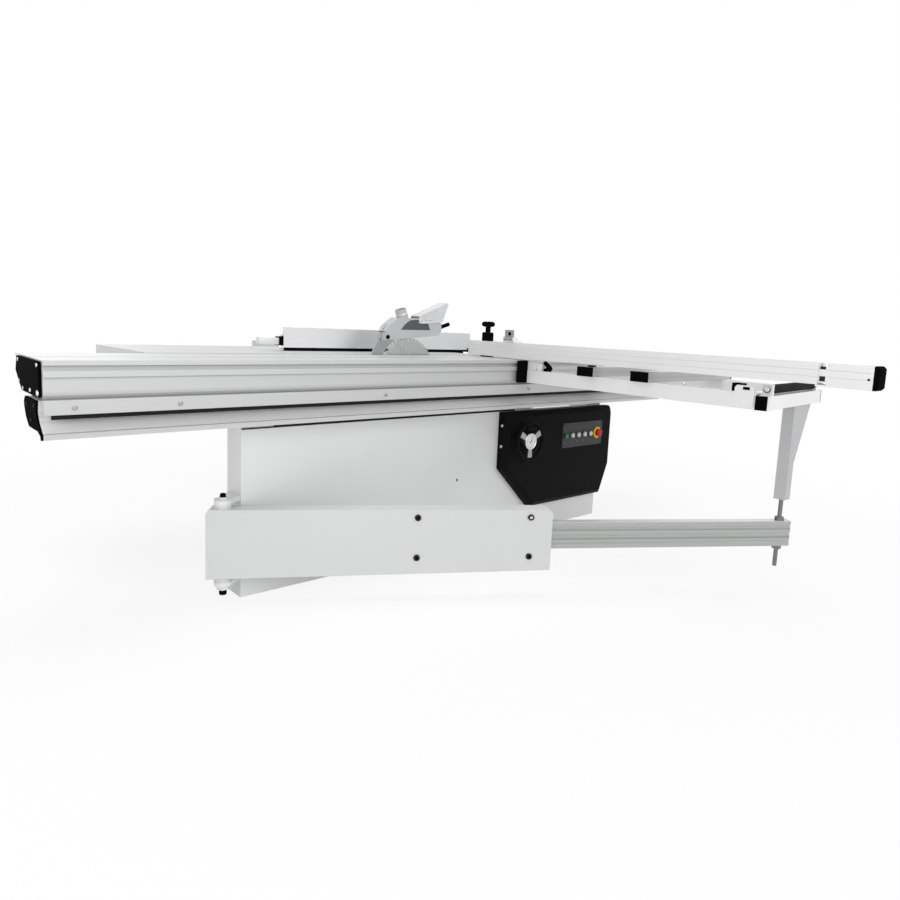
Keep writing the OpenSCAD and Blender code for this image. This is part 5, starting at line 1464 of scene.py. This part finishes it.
@dataclass
class Cabinet:
    """Cabinet: louvres and lock on the door, panel screws and a cable gland."""

    door_y: float = 0.5844
    wall_y: float = 0.580
    louvre_mm: Point = (60.0, 9.0, 5.0)  # half length, half width and depth
    louvre_steps: int = 8
    louvre_xs: Flat = (-0.28, -0.12)
    louvre_z: float = 0.235
    louvre_pitch: float = 0.028
    louvre_rows: int = 8
    lock: Flat = (-0.025, 0.40)
    wall_xs: Flat = (-0.455, 0.445)
    wall_zs: tuple[float, ...] = (0.05, 0.30, 0.55, 0.775)
    gland: Point = (-0.466, 0.45, 0.12)

    def louvre(self) -> Item:
        """Models one pressed louvre, looking along Z.

        Returns:
            The louvre, linked to the scene.
        """
        half, rise, depth = (size * MM for size in self.louvre_mm)
        mesh = bmesh.new()
        steps = self.louvre_steps
        rows = []
        for k in range(steps + 1):
            x = -half + 2 * half * k / steps
            swell = math.sin(math.pi * k / steps) ** 0.5 if 0 < k < steps else 0.0
            section = ((-rise, 0.0), (-rise * 0.2, depth * swell), (rise, depth * swell), (rise, 0.0))
            rows.append([mesh.verts.new((x, y, z)) for y, z in section])
        for low, high in zip(rows, rows[1:]):
            for k in range(3):
                mesh.faces.new([low[k], high[k], high[k + 1], low[k + 1]])
            mesh.faces.new([low[3], high[3], high[0], low[0]])
        bmesh.ops.remove_doubles(mesh, verts=mesh.verts, dist=WELD)
        bmesh.ops.dissolve_degenerate(mesh, dist=WELD, edges=mesh.edges)
        bmesh.ops.recalc_face_normals(mesh, faces=mesh.faces)
        return placed("louvre", written("louvre", mesh))

    def dress(self, stock: Stock) -> None:
        """Adds the cabinet's pieces.

        Args:
            stock: Finishes of the machine.
        """
        heights = [self.louvre_z + self.louvre_pitch * k for k in range(self.louvre_rows)]
        places = [(x, self.door_y, z) for z in heights for x in self.louvre_xs]
        keep(repeated("door_louvres", self.louvre(), places, Facing.FAR, stock.white), "door")
        x, z = self.lock
        disc = [(0, 0), (13, 0), (13, 3), (11, 5), (0, 5)]
        lock = [
            turned(disc, frame_of(Facing.FAR, (x, self.door_y - 2 * MM, z)), 28),
            slab((-10 * MM, -2 * MM), (10 * MM, 2 * MM), 3 * MM,
                 frame_of(Facing.FAR, (x, self.door_y + 3 * MM, z)), 0.6 * MM),
        ]
        fit("door_lock", merged(lock), stock.black, "door")
        rows = [(x, self.wall_y, z) for x in self.wall_xs for z in self.wall_zs]
        Fasteners(6 * MM, 3 * MM).fix("wall_screws", rows, Facing.FAR, stock.zinc, "base")
        gland = [(0, 0), (18, 0), (18, 9), (15, 10), (15, 22), (12, 28), (8, 28), (8, 20), (0, 20)]
        place = frame_of(Facing.REAR, self.gland)
        fit("cable_gland", turned(gland, place, 28), stock.black, "base")


@dataclass(frozen=True)
class Lamp:
    """Square area lamp."""

    name: str
    place: Point
    aim: Point
    size: float
    watts: float

    def hang(self) -> None:
        """Hangs the lamp and points it at its aim."""
        data = bpy.data.lights.new(self.name, "AREA")
        data.size = self.size
        data.energy = self.watts
        lamp = placed(self.name, data)
        lamp.location = self.place
        lamp.rotation_euler = (Vector(self.aim) - Vector(self.place)).to_track_quat("-Z", "Y").to_euler()


@dataclass
class Studio:
    """Camera, floor and soft light."""

    eye: Point = (-1.93849, -2.46325, 0.98748)
    yaw: float = 41.752
    pitch: float = 7.537
    roll: float = 2.4928
    lens: float = 27.738
    shift: Flat = (0.00236, -0.0364)
    ambient: float = 0.21
    floor_reach: float = 14.0
    floor_tone: Point = (0.92, 0.92, 0.92)
    lamps: tuple[Lamp, ...] = (
        Lamp("key", (2.0, -10.0, 4.5), (0.0, -0.4, 0.6), 4.4, 300.0),
        Lamp("front", (-0.8, -9.6, 1.4), (0.0, -0.4, 0.65), 2.8, 40.0),
        Lamp("fill", (-4.2, -2.4, 2.3), (-0.4, -0.4, 0.5), 4.2, 84.0),
        Lamp("top", (0.2, -0.5, 8.0), (0.1, -0.3, 0.8), 5.0, 300.0),
        Lamp("back", (-1.5, 4.2, 2.4), (0.0, 0.2, 0.6), 4.2, 48.0),
    )

    def camera(self) -> None:
        """Puts the camera where the photograph was taken."""
        yaw, pitch, roll = (math.radians(a) for a in (self.yaw, self.pitch, self.roll))
        ahead = Vector((math.sin(yaw) * math.cos(pitch), math.cos(yaw) * math.cos(pitch), -math.sin(pitch)))
        side = Vector((math.cos(yaw), -math.sin(yaw), 0.0))
        top = side.cross(ahead)
        right = side * math.cos(roll) + top * math.sin(roll)
        up = top * math.cos(roll) - side * math.sin(roll)
        data = bpy.data.cameras.new("camera")
        data.lens = self.lens
        data.sensor_width = 36.0
        data.shift_x, data.shift_y = self.shift
        data.clip_end = 60.0
        camera = placed("camera", data)
        camera.matrix_world = Matrix.Translation(self.eye) @ Matrix((right, up, -ahead)).transposed().to_4x4()
        bpy.context.scene.camera = camera

    def seen(self, wiring: Wiring) -> Socket:
        """Adds a mask that is 1 for camera, glossy and transmission rays.

        Args:
            wiring: Tree to add to.

        Returns:
            The mask.
        """
        path = wiring.add("ShaderNodeLightPath")
        total = path.outputs["Is Camera Ray"]
        for name in ("Is Glossy Ray", "Is Transmission Ray"):
            most = wiring.add("ShaderNodeMath", operation="MAXIMUM")
            wiring.join(total, most.inputs[0])
            wiring.join(path.outputs[name], most.inputs[1])
            total = most.outputs["Value"]
        return total

    def mix(self, wiring: Wiring, sockets: Sequence[Socket], output: str) -> None:
        """Mixes two shaders into an output.

        Args:
            wiring: Tree to add to.
            sockets: Share of the second shader, first shader and second shader.
            output: Blender's name of the output node.
        """
        mix = wiring.add("ShaderNodeMixShader")
        for source, target in zip(sockets, mix.inputs):
            wiring.join(source, target)
        wiring.join(mix.outputs["Shader"], wiring.add(output).inputs["Surface"])

    def world(self) -> None:
        """Makes the white surroundings."""
        world = bpy.data.worlds.new("studio")
        world.use_nodes = True
        bpy.context.scene.world = world
        wiring = Wiring(world.node_tree)
        sockets = [self.seen(wiring)]
        for strength in (self.ambient, 1.0):
            light = wiring.add("ShaderNodeBackground", {"Color": (1.0, 1.0, 1.0, 1.0), "Strength": strength})
            sockets.append(light.outputs["Background"])
        self.mix(wiring, sockets, "ShaderNodeOutputWorld")

    def floor(self) -> None:
        """Lays the pale floor, which keeps a soft shadow."""
        mesh = bpy.data.meshes.new("floor")
        reach = self.floor_reach
        edge = [(-reach, -reach, 0.0), (reach, -reach, 0.0), (reach, reach, 0.0), (-reach, reach, 0.0)]
        mesh.from_pydata(edge, [], [(0, 1, 2, 3)])
        floor = placed("floor", mesh)
        material = bpy.data.materials.new("pale_floor")
        material.use_nodes = True
        wiring = Wiring(material.node_tree)
        matt = wiring.add("ShaderNodeBsdfDiffuse", {"Color": (*self.floor_tone, 1.0)})
        glow = wiring.add("ShaderNodeEmission")
        share = wiring.add("ShaderNodeMath", operation="MULTIPLY")
        place = wiring.add("ShaderNodeTexCoord")
        distance = wiring.add("ShaderNodeVectorMath", operation="LENGTH")
        values = {"From Min": 1.2, "From Max": 3.6, "To Min": 0.84, "To Max": 1.0}
        fade = wiring.add("ShaderNodeMapRange", values)
        wiring.join(place.outputs["Object"], distance.inputs[0])
        wiring.join(distance.outputs["Value"], fade.inputs["Value"])
        wiring.join(self.seen(wiring), share.inputs[0])
        wiring.join(fade.outputs["Result"], share.inputs[1])
        sockets = (share.outputs["Value"], matt.outputs["BSDF"], glow.outputs["Emission"])
        self.mix(wiring, sockets, "ShaderNodeOutputMaterial")
        mesh.materials.append(material)
        floor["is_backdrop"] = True

    def set(self) -> None:
        """Makes camera, surroundings, floor and lamps."""
        bpy.context.scene.view_settings.view_transform = "Standard"
        self.camera()
        self.world()
        self.floor()
        for lamp in self.lamps:
            lamp.hang()


def dress_solids(nodes: dict[str, Item], stock: Stock) -> None:
    """Gives every solid its finish.

    Args:
        nodes: Solids by name.
        stock: Finishes.
    """
    finishes = {
        stock.white: "front_stand stand_columns base_plate cabinet_ends cabinet_side cabinet_door arm_pivot",
        stock.swing: "swing_arm",
        stock.table: "outfeed_table side_table",
        stock.frame: "frame_beams frame_brackets",
        stock.carriage: "carriage",
        stock.beam: "slide_beam",
        stock.bars: "support_bars",
        stock.post: "support_post",
        stock.rail: "rip_fence",
        stock.fence: "crosscut_fence fence_extension",
        stock.arm: "inner_arm",
        stock.iron: "cast_table",
        stock.casting: "trunnion_rails saw_cradle lift_slide flip_stop",
        stock.bar: "guide_bar riving_knife",
        stock.rod: "support_rod",
        stock.blade: "main_blade arbor",
        stock.scoring: "scoring_blade",
        stock.pulley: "motor_pulley",
        stock.black: (
            "beam_caps carriage_caps frame_mounts frame_caps table_knob fence_clamp fence_handle fence_cap "
            "guard_lever rip_trim rip_carrier rip_lock guide_rollers"
        ),
        stock.housing: "control_housing",
        stock.panel: "button_panel",
        stock.rubber: "drive_belt",
        stock.roller: "edge_roller",
        stock.cage: "roller_cage",
        stock.motor: "motor",
        stock.green: "green_button",
        stock.cream: "white_button_1 white_button_2 white_button_3 white_button_4",
        stock.red: "stop_button",
        stock.hood: "guard_hood",
        stock.visor: "guard_visor",
        stock.wheel: "handwheel",
    }
    for finish, names in finishes.items():
        for name in names.split():
            node = nodes[name]
            node.data.materials.clear()
            node.data.materials.append(finish)
    LOG.info("dressed %d solids", sum(len(names.split()) for names in finishes.values()))


def corners() -> list[list[float]]:
    """Gives the object's box as plain lists."""
    return [[float(value) for value in corner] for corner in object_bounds()]


def main() -> None:
    """Builds the studio, the finishes and each sub-assembly in order."""
    logging.basicConfig(level=logging.INFO, format="%(name)s %(message)s")
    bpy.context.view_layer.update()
    Studio().set()
    stock = Stock()
    dress_solids(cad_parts, stock)
    parts = (
        Carriage(), Beam(), Controls(), Blade(), Guard(), CrosscutFence(), RipFence(), FrameFittings(), Arm(),
        Cabinet(),
    )
    for part in parts:
        LOG.info("building %s", type(part).__name__)
        part.dress(stock)


if __name__ == "__main__":
    main()
